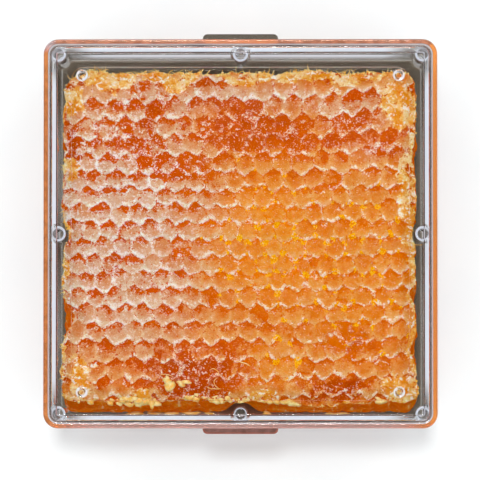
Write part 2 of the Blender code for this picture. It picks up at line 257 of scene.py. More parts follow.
def edge_line(side, along, level, fine=True):
    """Where one side of the comb runs, at a level from 0 at the foot to 1 at the face."""
    face, foot, towards = SIDES[side]
    power = 1.6 if side == "bottom" else 1.0
    base = foot + (face - foot) * level**power
    inwards = SIDE_RAGGED * wander(along + 40 * level, SEED + len(side))
    inwards = inwards + 0.35 * SIDE_RAGGED * wander(along * 2.3 + 13 * level, SEED + 20 + len(side))
    if fine:
        inwards = inwards + 0.26 * noise2(along / 1.7, level * 9 + 0 * along, SEED + 31)
        inwards = inwards + 0.16 * noise2(along / 0.7, level * 20 + 0 * along, SEED + 32)
    for where, centre, half_width, depth in EDGE_FEATURES:
        if where == side:
            inwards = inwards + depth * np.exp(-(((along - centre) / half_width) ** 2) * 1.4) * level**2
    line = base + towards * inwards
    # A hollow round the tray's post in the middle of each side.
    half = (CASE_X if side in ("left", "right") else CASE_Y) / 2
    reach = half - POST_INSET - POST_ROOM / (1 + (np.abs(along) / (1.25 * POST_ROOM)) ** 4)
    reach = np.minimum(reach, half - WALL_CLEAR - 0.3 * (1 - level))
    return np.clip(line, -reach, reach)


def outline_curves(level, count_x, count_y):
    """The four sides as arrays of points, and their shared corners lie on the rounding's middle."""
    l, r = (FOOT_LEFT + (FACE_LEFT - FOOT_LEFT) * level, FOOT_RIGHT + (FACE_RIGHT - FOOT_RIGHT) * level)
    t = FOOT_TOP + (FACE_TOP - FOOT_TOP) * level
    b = FOOT_BOTTOM + (FACE_BOTTOM - FOOT_BOTTOM) * level**1.6
    k = 1 - math.sqrt(0.5)

    def rounding(distance, radius):
        inner = np.clip(radius - distance, 0, radius)
        return radius - np.sqrt(np.maximum(radius**2 - inner**2, 0))

    radii = CORNER_RADII
    s = np.linspace(0, 1, count_x)
    q = np.linspace(0, 1, count_y)
    left_y = b + k * radii["bl"] + (t - b - k * (radii["bl"] + radii["tl"])) * q
    right_y = b + k * radii["br"] + (t - b - k * (radii["br"] + radii["tr"])) * q
    top_x = l + k * radii["tl"] + (r - l - k * (radii["tl"] + radii["tr"])) * s
    bottom_x = l + k * radii["bl"] + (r - l - k * (radii["bl"] + radii["br"])) * s
    left = edge_line("left", left_y, level) + rounding(left_y - b, radii["bl"]) + rounding(t - left_y, radii["tl"])
    right = edge_line("right", right_y, level) - rounding(right_y - b, radii["br"]) - rounding(t - right_y, radii["tr"])
    top = edge_line("top", top_x, level) - rounding(top_x - l, radii["tl"]) - rounding(r - top_x, radii["tr"])
    bottom = edge_line("bottom", bottom_x, level) + rounding(bottom_x - l, radii["bl"]) + rounding(r - bottom_x, radii["br"])
    left, right = np.stack([left, left_y], 1), np.stack([right, right_y], 1)
    top, bottom = np.stack([top_x, top], 1), np.stack([bottom_x, bottom], 1)
    # Where two sides meet they share one point; the last few points ease into it.
    def meet(a, a_end, c, c_end):
        shared = (a[a_end] + c[c_end]) / 2
        for line, end in ((a, a_end), (c, c_end)):
            gap = shared - line[end]
            n = 12
            index = np.arange(n)
            weight = (1 - index / n) ** 2
            at = index if end == 0 else -1 - index
            line[at] += gap * weight[:, None]

    meet(left, 0, bottom, 0)
    meet(left, -1, top, 0)
    meet(right, 0, bottom, -1)
    meet(right, -1, top, -1)
    return left, right, top, bottom


def patch(level, count_x, count_y):
    """A grid of points over the comb's outline, (count_y, count_x, 2)."""
    left, right, top, bottom = outline_curves(level, count_x, count_y)
    s = np.linspace(0, 1, count_x)[None, :, None]
    q = np.linspace(0, 1, count_y)[:, None, None]
    sides = (1 - s) * left[:, None, :] + s * right[:, None, :]
    ends = (1 - q) * bottom[None, :, :] + q * top[None, :, :]
    corners = (
        (1 - s) * (1 - q) * bottom[0]
        + s * (1 - q) * bottom[-1]
        + (1 - s) * q * top[0]
        + s * q * top[-1]
    )
    return sides + ends - corners


def loop_of(grid):
    """The boundary of a grid of points, anticlockwise from the bottom left corner."""
    return np.concatenate([grid[0, :-1], grid[:-1, -1], grid[-1, :0:-1], grid[:0:-1, 0]])


def edge_distance(x, y, level=1.0):
    return np.minimum(
        np.minimum(x - edge_line("left", y, level, False), edge_line("right", y, level, False) - x),
        np.minimum(y - edge_line("bottom", x, level, False), edge_line("top", x, level, False) - y),
    )


# ---------------------------------------------------------------------------
# How the capped face looks from place to place
# ---------------------------------------------------------------------------
def zones(x, y):
    """Soft fields over the face, each from 0 to 1."""
    wx = x + 3.0 * noise2(x / 9, y / 9, 91) + 0.8 * noise2(x / 2.5, y / 2.5, 89)
    wy = y + 3.0 * noise2(x / 9, y / 9, 92) + 0.8 * noise2(x / 2.5, y / 2.5, 90)
    # Dry, pale caps: the left half and the two uppermost rows.
    dry = bump(wx, wy, -35, 4, 28, 38, 2.0)
    dry = np.maximum(dry, 0.75 * bump(wx, wy, -10, 38, 38, 4.5, 2.0))
    dry = np.maximum(dry, 0.6 * bump(wx, wy, 28, 36, 16, 5, 2.0))
    dry = np.maximum(dry, 0.45 * bump(wx, wy, 38, 24, 9, 5, 2.0))
    # Wet: honey bare or under torn caps.
    wet = 0.9 * bump(wx, wy, 5.5, 27.5, 19, 7.0, 1.5)
    wet = np.maximum(wet, 0.55 * bump(wx, wy, 32, 28.5, 12, 5.5, 1.5))
    wet = np.maximum(wet, 0.95 * bump(wx, wy, -12, -38.5, 14, 7.5, 1.5))
    wet = np.maximum(wet, 0.95 * bump(wx, wy, 30, -28.5, 7, 4.2, 1.5))
    wet = np.maximum(wet, 0.85 * bump(wx, wy, 27.5, -43.5, 7.5, 3.2, 1.5))
    wet = np.maximum(wet, 0.55 * bump(wx, wy, -33, 27, 14, 4.5, 1.5))
    wet = np.maximum(wet, 0.50 * bump(wx, wy, -32, 36.5, 13, 3.5, 1.5))
    wet = np.maximum(wet, 0.55 * bump(wx, wy, -19, 19.5, 14, 3.5, 1.5))
    wet = np.maximum(wet, 1.0 * bump(wx, wy, -45.8, 26.5, 2.6, 3.4, 2.0))
    wet = np.maximum(wet, 0.9 * bump(wx, wy, -47.0, 21.3, 1.8, 1.8, 2.0))
    # Light comes through from below, brightest right of the middle.
    glow = 0.95 * bump(wx, wy, 9, -2, 20, 24, 1.0)
    glow = np.maximum(glow, 0.62 * bump(wx, wy, 30, -10, 24, 30, 1.5))
    glow = np.maximum(glow, 0.75 * bump(wx, wy, 9, -36, 10, 7, 1.0))
    # Reddish brown honey.
    dark = 0.55 * bump(wx, wy, -13, -38.5, 12, 6.0, 1.5)
    dark = np.maximum(dark, 0.12 * bump(wx, wy, 2, 31, 19, 5, 1.5))
    dark = np.maximum(dark, 0.8 * bump(wx, wy, 27, -43.5, 8, 4, 1.5))
    dark = np.maximum(dark, 0.35 * bump(wx, wy, -47.0, 21.3, 2.4, 2.0, 2.0))
    # Cream wax along the edges.
    e = edge_distance(x, y)
    ragged = e + 1.0 * noise2(x / 3.0, y / 3.0, 93) + 0.6 * noise2(x / 1.1, y / 1.1, 94)
    cream = 0.8 * (1 - smooth(0.3, 1.3, ragged)) * smooth(-0.2, 0.5, noise2(x / 7, y / 7, 95) + 0.3 * smooth(30, 48, x))
    rag = 0.9 * noise2(x / 2.4, y / 2.4, 96) + 0.5 * noise2(x / 0.9, y / 0.9, 97)
    cream = np.maximum(cream, 0.95 * bump(x, wy + rag, -28, 44.6, 21, 3.2, 3.0))
    cream = np.maximum(cream, 0.85 * bump(x, wy + rag, 14, 44.9, 30, 2.1, 3.0))
    cream = np.maximum(cream, 0.9 * bump(wx + rag, wy, 44.5, 37.0, 5.0, 6.5, 2.0))
    cream = np.maximum(cream, 0.85 * bump(wx + rag, wy, -47.6, 37.5, 3.0, 4.4, 2.0))
    cream = np.maximum(cream, 0.8 * bump(wx + rag, wy, -47.9, 17.5, 2.2, 3.2, 2.0))
    cream = np.maximum(cream, 0.7 * bump(wx + rag, wy, -45.5, -38.0, 3.0, 7.5, 1.5))
    cream = np.maximum(cream, 0.8 * bump(wx, wy + rag, -28.5, -45.5, 4.0, 1.9, 2.0))
    cream = np.maximum(cream, 0.7 * bump(wx, wy + rag, 7.5, -45.5, 5.0, 1.9, 2.0))
    cream = np.maximum(cream, 0.85 * bump(wx + rag, wy, 43.5, -43.5, 6.5, 5.5, 2.0))
    cream = np.maximum(cream, 0.75 * bump(wx + rag, wy, 47.6, 2, 2.2, 34, 3.0))
    return {"dry": dry, "wet": wet, "glow": glow, "dark": dark, "cream": cream, "edge": e}


WAYS = ((0, -1), (1, -1), (-1, 0), (1, 0), (-1, 1), (0, 1))


def capped_relief(x, y, seed, zone, strength=1.0):
    """Height of the capped face over its mean, in millimetres, and how it looks at each point."""
    fine = noise2(x / 0.5, y / 0.5, seed + 45)
    small = noise2(x / 1.05, y / 1.05, seed + 46)
    middle = noise2(x / 2.6, y / 2.6, seed + 47)
    warp_x = 0.55 * noise2(x / 4.3, y / 4.3, seed + 41) + 0.22 * noise2(x / 1.7, y / 1.7, seed + 42)
    warp_y = 0.50 * noise2(x / 4.3, y / 4.3, seed + 43) + 0.22 * noise2(x / 1.7, y / 1.7, seed + 44)
    warp_x = warp_x + 0.13 * noise2(x / 0.75, y / 0.75, seed + 39)
    warp_y = warp_y + 0.13 * noise2(x / 0.75, y / 0.75, seed + 40)
    across, down = lattice(x + warp_x, y + warp_y)
    i, r, u, v, walls = nearest_cells(across, down, seed, 0.09)
    mood = [hash01(i, r, seed + 50 + k) for k in range(10)]
    # One number for each wall, the same from either side of it.
    luck = [hash01(2 * i + di, 2 * r + dr, seed + 70) for di, dr in WAYS]
    other = [hash01(2 * i + di, 2 * r + dr, seed + 71) for di, dr in WAYS]
    dry, wet, cream, glow = zone["dry"], zone["wet"], zone["cream"], zone["glow"]
    around = soft_min(walls, 13.0)

    # How wet this cell is, as a whole, and whether its cap is torn or gone.
    soak = np.clip(wet + 0.7 * (mood[0] - 0.5) * (0.25 + wet) + 0.2 * middle * wet, 0, 1)
    gone = (mood[2] < 0.8 * smooth(0.55, 0.9, wet)) & (cream < 0.35)
    torn = (mood[1] < 0.02 + 0.38 * wet) & (cream < 0.4) & ~gone

    # Every field below is about a way in cells, over 0 on wax and under 0 on bare honey.
    # Under the lips of the upper row the honey lies bare; some walls have closed over instead.
    # The holes are widest right under the place where two lips meet, and close towards the sides.
    pinch = (0.30 * mood[6] + 0.10) * (1 - 0.85 * soak) * smooth(0.18, 0.50, np.abs(u) + 0.12 * small + 0.12 * middle) * (1 - 0.6 * glow)
    open_up = [
        0.20 + 0.03 * dry + 0.20 * (luck[k] - 0.5) + 0.40 * soak - 0.15 * glow - 0.30 * smooth(0.22, 0.10, luck[k]) - pinch + 0.08 * middle + 0.10 * small + 0.06 * fine
        for k in (0, 1)
    ]
    open_side = [-0.17 + 0.20 * luck[k] + 0.07 * soak + 0.05 * middle for k in (2, 3)]
    cover = soft_min([walls[0] - open_up[0], walls[1] - open_up[1]], 16.0)
    cover = np.minimum(cover, soft_min([walls[2] - open_side[0], walls[3] - open_side[1]], 16.0) + 0.02)
    # Caps are rounder than their cells, so there are small gaps at the corners.
    closed = sum(smooth(0.16, 0.0, w) * smooth(0.45, 0.30, q) for w, q in zip(walls, luck))
    round_cap = 0.60 - 0.065 * glow - 0.04 * mood[4] + 0.03 * small + 0.03 * middle + 0.06 * closed - np.hypot(u, v)
    cover = np.minimum(cover, 1.2 * round_cap)
    cover = np.minimum(cover, around + 0.10 - 0.115 * glow + 0.06 * closed - 0.035 * small - 0.04 * middle)
    # Torn caps have holes, and where it is wet only shreds are left.
    tear = 0.10 - 0.30 * smooth(-0.05, 0.35, small * 0.5 + middle * 0.7)
    cover = np.where(torn, np.minimum(cover, tear + 0.05 * small), cover)
    cover = cover - 0.11 * smooth(0.2, 0.85, soak) * (1 + 1.4 * small + 1.0 * middle)
    # Bare cells: a cup of honey within a thin wall.
    cup_wall = 0.055 - np.abs(around + 0.03) + 0.03 * small
    cover = np.where(gone, np.minimum(cup_wall, 0.06), cover)
    # Thick cream wax builds lumps over the cells along the edges.
    crust = 0.5 * (cream - 0.45 + 0.34 * fbm(x / 1.7, y / 1.7, seed + 63, 3, 0.65))
    cover = np.maximum(cover, np.clip(crust, -0.3, 0.25))
    cap = smooth(-0.05, 0.05, cover)

    # Seams of wax, crinkled and broken, along the walls: lips below, ridges between caps.
    broken = noise2(x / 1.5, y / 1.5, seed + 48) + 0.5 * fine
    seam = np.full_like(x, -1.0)
    for k in range(6):
        below, beside = k >= 4, k in (2, 3)
        lip = smooth(0.15, 0.35, luck[k]) * (1.0 - 0.15 * glow) if not beside else smooth(0.35, 0.65, other[k]) * (0.35 + 0.45 * dry)
        width = (0.13 if below else 0.09 if beside else 0.045) * (0.62 + 0.38 * dry)
        line = 1 - np.abs(walls[k] - (0.055 if below else 0.0) - 0.035 * small) / (width * (0.7 + 0.6 * other[k]))
        seam = np.maximum(seam, line - 1.3 * (1 - lip * smooth(-0.30, 0.25, broken + 0.30 * dry + 0.35 * (other[k] - 0.5))))
    frayed = 0.7 - np.abs(cover - 0.03) / 0.045 - 1.1 * (1 - smooth(0.0, 0.5, noise2(x / 1.3, y / 1.3, seed + 57)))
    seam = np.maximum(seam, frayed)
    seam = np.where(gone, np.minimum(seam, 0.5 - np.abs(around) / 0.1), seam)
    seam = np.clip(seam, -1, 1) * (1 - 0.35 * soak)
    ridge = smooth(0.0, 0.8, seam)

    # Thin white scribbles of wax near the seams.
    scribble = fbm(x / 1.35, y / 1.35, seed + 58, 2, 0.6)
    low = soft_min([walls[4], walls[5]], 16.0)
    near = smooth(0.22, 0.08, low) * smooth(-0.05, 0.35, noise2(x / 2.1, y / 2.1, seed + 59) + 0.2 * soak)
    scribble = np.clip(1.7 * smooth(0.13, 0.02, np.abs(scribble)) * near, 0, 1)

    # Bright drops of honey where three cells meet and light comes through.
    stack = np.stack(walls)
    order = np.argsort(stack, axis=0)
    second = np.take_along_axis(stack, order[1:2], 0)[0]
    steps = np.array(WAYS)
    di, dr = steps[order[0], 0] + steps[order[1], 0], steps[order[0], 1] + steps[order[1], 1]
    drop = hash01(3 * i + di, 3 * r + dr, seed + 72)
    size = 0.045 + 0.085 * drop + 0.02 * glow
    gold = smooth(0.05, -0.04, second - size + 0.07 * small + 0.05 * fine + 0.07 * middle) * smooth(0.25, 0.75, glow + 0.5 * (drop - 0.5)) * (drop > 0.15)
    gold = gold * smooth(0.3, 0.1, cream) * (1 - 0.6 * ridge)

    # The cap's crown rises towards its lip.
    ramp = np.clip((v + 0.35) / 0.85, 0, 1)
    crown = smooth(0.0, 0.30, around)
    height = -0.24 + 0.11 * cap + 0.13 * cap * ramp + 0.20 * cap * crown
    height = height + 0.09 * ridge * cap - 0.12 * gold
    height = height + 0.16 * (mood[8] - 0.5) + 0.22 * (mood[9] - 0.5) * v + 0.18 * (mood[7] - 0.5) * u
    height = height * (1 - 0.30 * soak) - 0.10 * soak
    height = np.where(gone, -0.75 * (1 - cap) * smooth(0.0, 0.16, np.abs(around + 0.03)) + 0.05 * small, height)
    lumps = 0.50 * fbm(x / 3.0, y / 3.0, seed + 61, 2, 0.5) + 0.40 * (0.5 - np.abs(noise2(x / 2.0, y / 2.0, seed + 62)))
    height = height * (1 - 0.5 * cream) + cream * lumps
    # Crinkles everywhere on the wax.
    height = height + cap * (1 - 0.6 * cream) * (0.055 * small + 0.05 * fine + 0.04 * noise2(x / 0.36, y / 0.36, seed + 65)) + 0.08 * scribble
    height = height + 0.06 * noise2(x / 1.9, y / 1.9, seed + 66)

    # How thick and pale the wax is: thin in the middle of some caps and towards their upper edge. The same field also
    # carries painted shade: it is lowered right under the upper row's lips and towards the top of open cups, where the
    # honey is then painted darker.
    thick = 0.34 + 0.18 * ramp + 0.32 * smooth(0.30, 0.02, low) + 0.24 * (mood[4] - 0.5) + 0.22 * fbm(x / 1.6, y / 1.6, seed + 67, 3, 0.65)
    thick = thick + 0.12 * smooth(0.16, 0.02, np.minimum(walls[2], walls[3]))
    hollow = np.exp(-((np.hypot(u, v + 0.06) / 0.27) ** 2))
    thick = thick - (0.24 - 0.18 * dry) * smooth(0.3, 0.9, mood[3]) * hollow + 0.14 * (1 - crown) * (1 - dry)
    # Thinner at the cap's edge; lowered right under the upper row's lips, which is painted shade.
    thick = thick - 0.22 * (1 - smooth(0.0, 0.14, cover)) - 0.22 * smooth(0.14, 0.0, np.minimum(walls[0], walls[1]))
    # Open cups: painted shade, low at the top of the cup and higher below.
    thick = np.where(gone, 0.22 + 0.5 * v + 0.1 * small, thick)
    looks = {
        "film_and_shade": np.clip(thick * (1 - 0.75 * soak), 0, 1),
        "cover": np.clip(0.5 + cover * 3.0, 0, 1),
        "seam": np.clip(0.5 + 0.5 * seam, 0, 1),
        "gold": np.clip(gold, 0, 1),
        "scribble": np.clip(scribble, 0, 1),
        "soak": soak,
        "tint": mood[5],
    }
    return strength * height, looks


# ---------------------------------------------------------------------------
# Shader helpers
# ---------------------------------------------------------------------------
class Nodes:
    """A small helper to build node trees by calls."""

    def __init__(self, name):
        self.material = bpy.data.materials.new(name)
        self.material.use_nodes = True
        self.tree = self.material.node_tree
        self.tree.nodes.clear()
        self.output = self.tree.nodes.new("ShaderNodeOutputMaterial")

    def add(self, kind, inputs=None, **settings):
        node = self.tree.nodes.new(kind)
        for key, value in settings.items():
            setattr(node, key, value)
        for key, value in (inputs or {}).items():
            self.plug(node.inputs[key], value)
        return node

    def plug(self, socket, value):
        if isinstance(value, bpy.types.NodeSocket):
            self.tree.links.new(value, socket)
        elif isinstance(value, bpy.types.Node):
            self.tree.links.new(value.outputs[0], socket)
        elif isinstance(value, (tuple, list)) and len(value) == 3 and socket.type == "RGBA":
            socket.default_value = (*value, 1.0)
        else:
            socket.default_value = value

    def attribute(self, name):
        return self.add("ShaderNodeAttribute", attribute_name=name).outputs["Fac"]

    def mix(self, factor, a, b, blend="MIX"):
        node = self.add("ShaderNodeMix", data_type="RGBA", blend_type=blend, clamp_factor=True)
        self.plug(node.inputs[0], factor)
        self.plug(node.inputs[6], a)
        self.plug(node.inputs[7], b)
        return node.outputs[2]

    def math(self, operation, a, b=0.0, c=None, clamp=False):
        node = self.add("ShaderNodeMath", operation=operation, use_clamp=clamp)
        self.plug(node.inputs[0], a)
        self.plug(node.inputs[1], b)
        if c is not None:
            self.plug(node.inputs[2], c)
        return node.outputs[0]

    def combine(self, r, g, b):
        return self.add("ShaderNodeCombineColor", {0: r, 1: g, 2: b}).outputs[0]

    def noise(self, scale, detail=3.0, roughness=0.55, distortion=0.0):
        coordinates = self.add("ShaderNodeTexCoord").outputs["Object"]
        fac = self.add(
            "ShaderNodeTexNoise",
            {"Vector": coordinates, "Scale": scale, "Detail": detail, "Roughness": roughness, "Distortion": distortion},
        ).outputs["Fac"]
        return self.math("MULTIPLY_ADD", fac, 1.9, -0.45)

    def remap(self, value, low, high, to_low=0.0, to_high=1.0):
        node = self.add("ShaderNodeMapRange", clamp=True, interpolation_type="SMOOTHSTEP")
        self.plug(node.inputs[0], value)
        for k, number in enumerate((low, high, to_low, to_high)):
            self.plug(node.inputs[k + 1], number)
        return node.outputs[0]


def srgb(r, g, b):
    """A display colour, 0 to 255, as scene-linear."""
    return tuple(((c / 255 + 0.055) / 1.055) ** 2.4 if c > 10 else c / 255 / 12.92 for c in (r, g, b))


LOOKS = ("film_and_shade", "cover", "seam", "gold", "scribble", "soak", "tint")
ZONES = ("dry", "glow", "dark", "cream")


def comb_colour(n):
    """The comb's colour, how much of it is wax, and the crinkles, built with the helper's calls."""
    film_and_shade, cover, seam, gold, scribble, soak, tint = (n.attribute(k) for k in LOOKS)
    dry, glow, dark, cream = (n.attribute(k) for k in ZONES)
    grain = n.noise(2600, 2.0, 0.6)
    fleck = n.noise(1300, 4.0, 0.72, 0.3)
    broad = n.noise(230, 3.0, 0.6)
    crinkle = n.noise(640, 4.0, 0.65, 0.8)

    def centred(value, strength):
        return n.math("MULTIPLY", n.math("SUBTRACT", value, 0.5), strength)

    def both(a, b):
        return n.math("MULTIPLY", a, b)

    def plus(a, b):
        return n.math("ADD", a, b)

    # Honey, deep orange in the pale part and golden where light comes through.
    honey = n.mix(glow, srgb(210, 82, 0), srgb(242, 130, 0))
    honey = n.mix(dark, honey, srgb(172, 54, 0))
    honey = n.mix(both(n.remap(plus(broad, centred(fleck, 1.3)), 0.44, 0.70), 0.5), honey, n.mix(glow, srgb(218, 100, 2), srgb(244, 142, 0)))
    honey = n.mix(n.remap(plus(grain, centred(fleck, 0.5)), 0.68, 0.82, 0.0, 0.5), honey, srgb(238, 150, 30))
    # Painted shade: the honey is darker where the film is low, right under the upper lips and at the top of open cups.
    honey = n.mix(n.remap(plus(film_and_shade, centred(crinkle, 0.2)), 0.0, 0.20, 0.55, 0.0), honey, n.mix(glow, srgb(188, 66, 0), srgb(230, 110, 0)))
    # Wax, thin and pinkish towards a cap's upper edge and paler towards its lip.
    thin = n.mix(glow, n.mix(dry, srgb(222, 112, 8), srgb(216, 142, 88)), srgb(237, 136, 20))
    thick = n.mix(glow, n.mix(dry, srgb(230, 152, 74), srgb(225, 184, 152)), srgb(241, 158, 50))
    wax = n.mix(n.remap(plus(film_and_shade, centred(crinkle, 0.25)), 0.14, 0.62), thin, thick)
    wax = n.mix(n.remap(soak, 0.15, 0.6, 0.0, 0.9), wax, n.mix(n.remap(plus(film_and_shade, centred(crinkle, 0.5)), 0.14, 0.46), srgb(214, 92, 2), srgb(228, 138, 50)))
    pale = n.mix(dry, srgb(238, 174, 104), srgb(230, 205, 180))
    wax = n.mix(n.remap(plus(plus(film_and_shade, centred(crinkle, 0.5)), centred(grain, 0.2)), 0.54, 0.84, 0.0, 0.9), wax, pale)
    cream_line = n.mix(dry, srgb(240, 180, 108), srgb(238, 204, 150))
    # White wax; the same colour also serves for the painted glints further down.
    bright = n.mix(dry, srgb(252, 230, 205), srgb(249, 242, 236))

    rough_edge = plus(plus(centred(fleck, 1.5), centred(crinkle, 0.9)), centred(grain, 0.4))
    amount = n.remap(plus(cover, rough_edge), 0.46, 0.55)
    colour = n.mix(both(amount, 0.98), honey, wax)
    # Lips and ridges: cream, with white along their crests.
    line = plus(seam, centred(fleck, 0.5))
    patch_noise = n.noise(380, 2.0, 0.6)
    colour = n.mix(n.remap(plus(line, centred(patch_noise, 0.7)), 0.62, 0.84, 0.0, 0.6), colour, cream_line)
    colour = n.mix(n.remap(plus(plus(line, centred(crinkle, 1.1)), plus(centred(patch_noise, 0.6), centred(grain, 0.3))), 0.91, 0.99, 0.0, 0.95), colour, bright)
    # Scribbles and shreds of white wax.
    colour = n.mix(n.remap(plus(scribble, centred(fleck, 0.5)), 0.36, 0.58, 0.0, 0.95), colour, bright)
    thread = n.remap(n.math("ABSOLUTE", centred(crinkle, 1.0)), 0.020, 0.060, 1.0, 0.0)
    near = n.remap(plus(cover, centred(broad, 0.8)), 0.15, 0.45)
    shreds = both(both(thread, near), both(soak, n.remap(patch_noise, 0.45, 0.65, 0.1, 1.0)))
    colour = n.mix(shreds, colour, bright)
    # Fine crinkled creases along the lips.
    weave = n.remap(n.math("ABSOLUTE", centred(fleck, 1.0)), 0.030, 0.085, 1.0, 0.0)
    beside_lip = n.remap(plus(plus(seam, centred(patch_noise, 0.9)), both(dry, 0.06)), 0.46, 0.62)
    colour = n.mix(both(both(plus(both(weave, 0.5), thread), beside_lip), 0.95), colour, bright)
    # Painted glints: white specks over the wet honey and the dry caps.
    painted_glint_specks = n.remap(plus(fleck, centred(crinkle, 0.9)), 0.685, 0.74)
    colour = n.mix(both(painted_glint_specks, n.remap(plus(both(soak, 0.8), both(dry, 0.5)), 0.1, 0.9, 0.1, 0.95)), colour, bright)
    # Painted light: golden drops at the corners, where light comes through.
    drops = n.remap(plus(gold, centred(fleck, 0.25)), 0.42, 0.60)
    colour = n.mix(drops, colour, n.mix(n.remap(grain, 0.40, 0.62), srgb(250, 156, 0), srgb(255, 192, 14)))
    # Painted glints of crinkled wax, and pits down to the honey.
    lift = plus(n.math("MULTIPLY", seam, 0.12), both(soak, -0.05))
    lift = plus(lift, both(dry, 0.03))
    white = both(n.remap(plus(lift, grain), 0.82, 0.90), n.remap(cover, 0.2, 0.6))
    colour = n.mix(both(white, 0.85), colour, bright)
    pits = n.remap(plus(plus(grain, centred(film_and_shade, 0.2)), centred(cover, 0.35)), 0.26, 0.36, 0.75, 0.0)
    colour = n.mix(pits, colour, honey)
    # Cream wax of the border, in smooth lumps.
    lump = plus(broad, centred(crinkle, 0.25))
    creamy = n.mix(n.remap(lump, 0.30, 0.60), srgb(236, 148, 28), srgb(246, 190, 94))
    creamy = n.mix(n.remap(plus(lump, centred(fleck, 0.4)), 0.50, 0.78, 0.0, 0.9), creamy, srgb(249, 220, 164))
    # Painted highlights: near-white spots on the cream lumps.
    creamy = n.mix(n.remap(plus(crinkle, centred(fleck, 0.6)), 0.64, 0.72, 0.0, 0.95), creamy, srgb(252, 244, 230))
    creamy = n.mix(n.remap(plus(crinkle, centred(fleck, 0.4)), 0.30, 0.38, 0.5, 0.0), creamy, srgb(226, 126, 14))
    crust = both(n.remap(plus(cream, plus(centred(fleck, 0.5), centred(broad, 0.5))), 0.32, 0.50), amount)
    colour = n.mix(both(crust, 0.95), colour, creamy)
    shade = n.math("MULTIPLY_ADD", n.math("SUBTRACT", tint, 0.5), 0.10, 1.0)
    shade = plus(shade, centred(grain, 0.05))
    shade = n.math("MULTIPLY", shade, 0.95)
    shades = n.combine(n.math("MULTIPLY_ADD", shade, 0.4, 0.57), shade, shade)
    return n.mix(1.0, colour, shades, "MULTIPLY"), amount, grain, fleck, crinkle


def comb_material(name="comb_wax_and_honey", gloss=1.0, tone=None):
    n = Nodes(name)
    colour, amount, grain, fleck, crinkle = comb_colour(n)
    # An optional tone multiplies the colour; the sides use it as painted light, brightening them towards orange as if
    # lit through the honey.
    if tone:
        colour = n.mix(1.0, colour, tone, "MULTIPLY")
    rough = n.math("MULTIPLY_ADD", amount, 0.14, 0.22)
    relief = n.math("MULTIPLY_ADD", grain, 0.3, n.math("ADD", n.math("ADD", fleck, crinkle), -1.15))
    relief = n.math("MULTIPLY", relief, n.math("MULTIPLY_ADD", n.attribute("cream"), -0.6, 1.0))
    bump_node = n.add("ShaderNodeBump", {"Height": n.math("MULTIPLY", relief, amount), "Strength": 0.5, "Distance": 0.00022})
    shader = n.add(
        "ShaderNodeBsdfPrincipled",
        {
            "Base Color": colour,
            "Roughness": rough,
            "IOR": 1.42,
            "Subsurface Weight": 0.45,
            "Subsurface Radius": (1.0, 0.16, 0.03),
            "Subsurface Scale": 0.0008,
            "Specular IOR Level": 0.006 * gloss,
            "Coat Weight": n.math("MULTIPLY", amount, 0.05 * gloss),
            "Coat Roughness": 0.2,
            "Coat IOR": 1.4,
            "Normal": bump_node.outputs[0],
        },
    )
    n.plug(n.output.inputs["Surface"], shader.outputs[0])
    return n.material


# ---------------------------------------------------------------------------
# The comb's pieces
# ---------------------------------------------------------------------------
def add_looks(obj, looks, zone):
    for key in LOOKS:
        set_attribute(obj, key, looks[key])
    for key in ZONES:
        set_attribute(obj, key, zone[key])


def face_height(x, y, zone, seed):
    relief, looks = capped_relief(x, y, seed, zone)
    e = zone["edge"]
    fall = EDGE_DROP * np.exp(-((np.maximum(e, 0) / 2.6) ** 2))
    calm = smooth(-0.2, 1.6, e)
    return FACE + hills(x, y) - fall + relief * (0.35 + 0.65 * calm), looks


FRONT_X, FRONT_Y = 460, 424


def tube(points, faces, path, radii, sides=5):
    """Adds a closed, tapering tube along the path."""
    path = np.array(path)
    start = len(points)
    along = np.gradient(path, axis=0)
    along /= np.linalg.norm(along, axis=1)[:, None]
    for here, way, radius in zip(path, along, radii):
        a = np.cross(way, (0.3, 0.2, 0.93))
        a /= np.linalg.norm(a)
        b = np.cross(way, a)
        for k in range(sides):
            t = 2 * math.pi * k / sides
            points.append(here + radius * (math.cos(t) * a + math.sin(t) * b))
    n = len(path)
    for k in range(n - 1):
        for m in range(sides):
            o, q = start + k * sides, (m + 1) % sides
            faces += [(o + m, o + q, o + sides + q), (o + m, o + sides + q, o + sides + m)]
    end = start + (n - 1) * sides
    for m in range(1, sides - 1):
        faces += [(start, start + m + 1, start + m), (end, end + m, end + m + 1)]


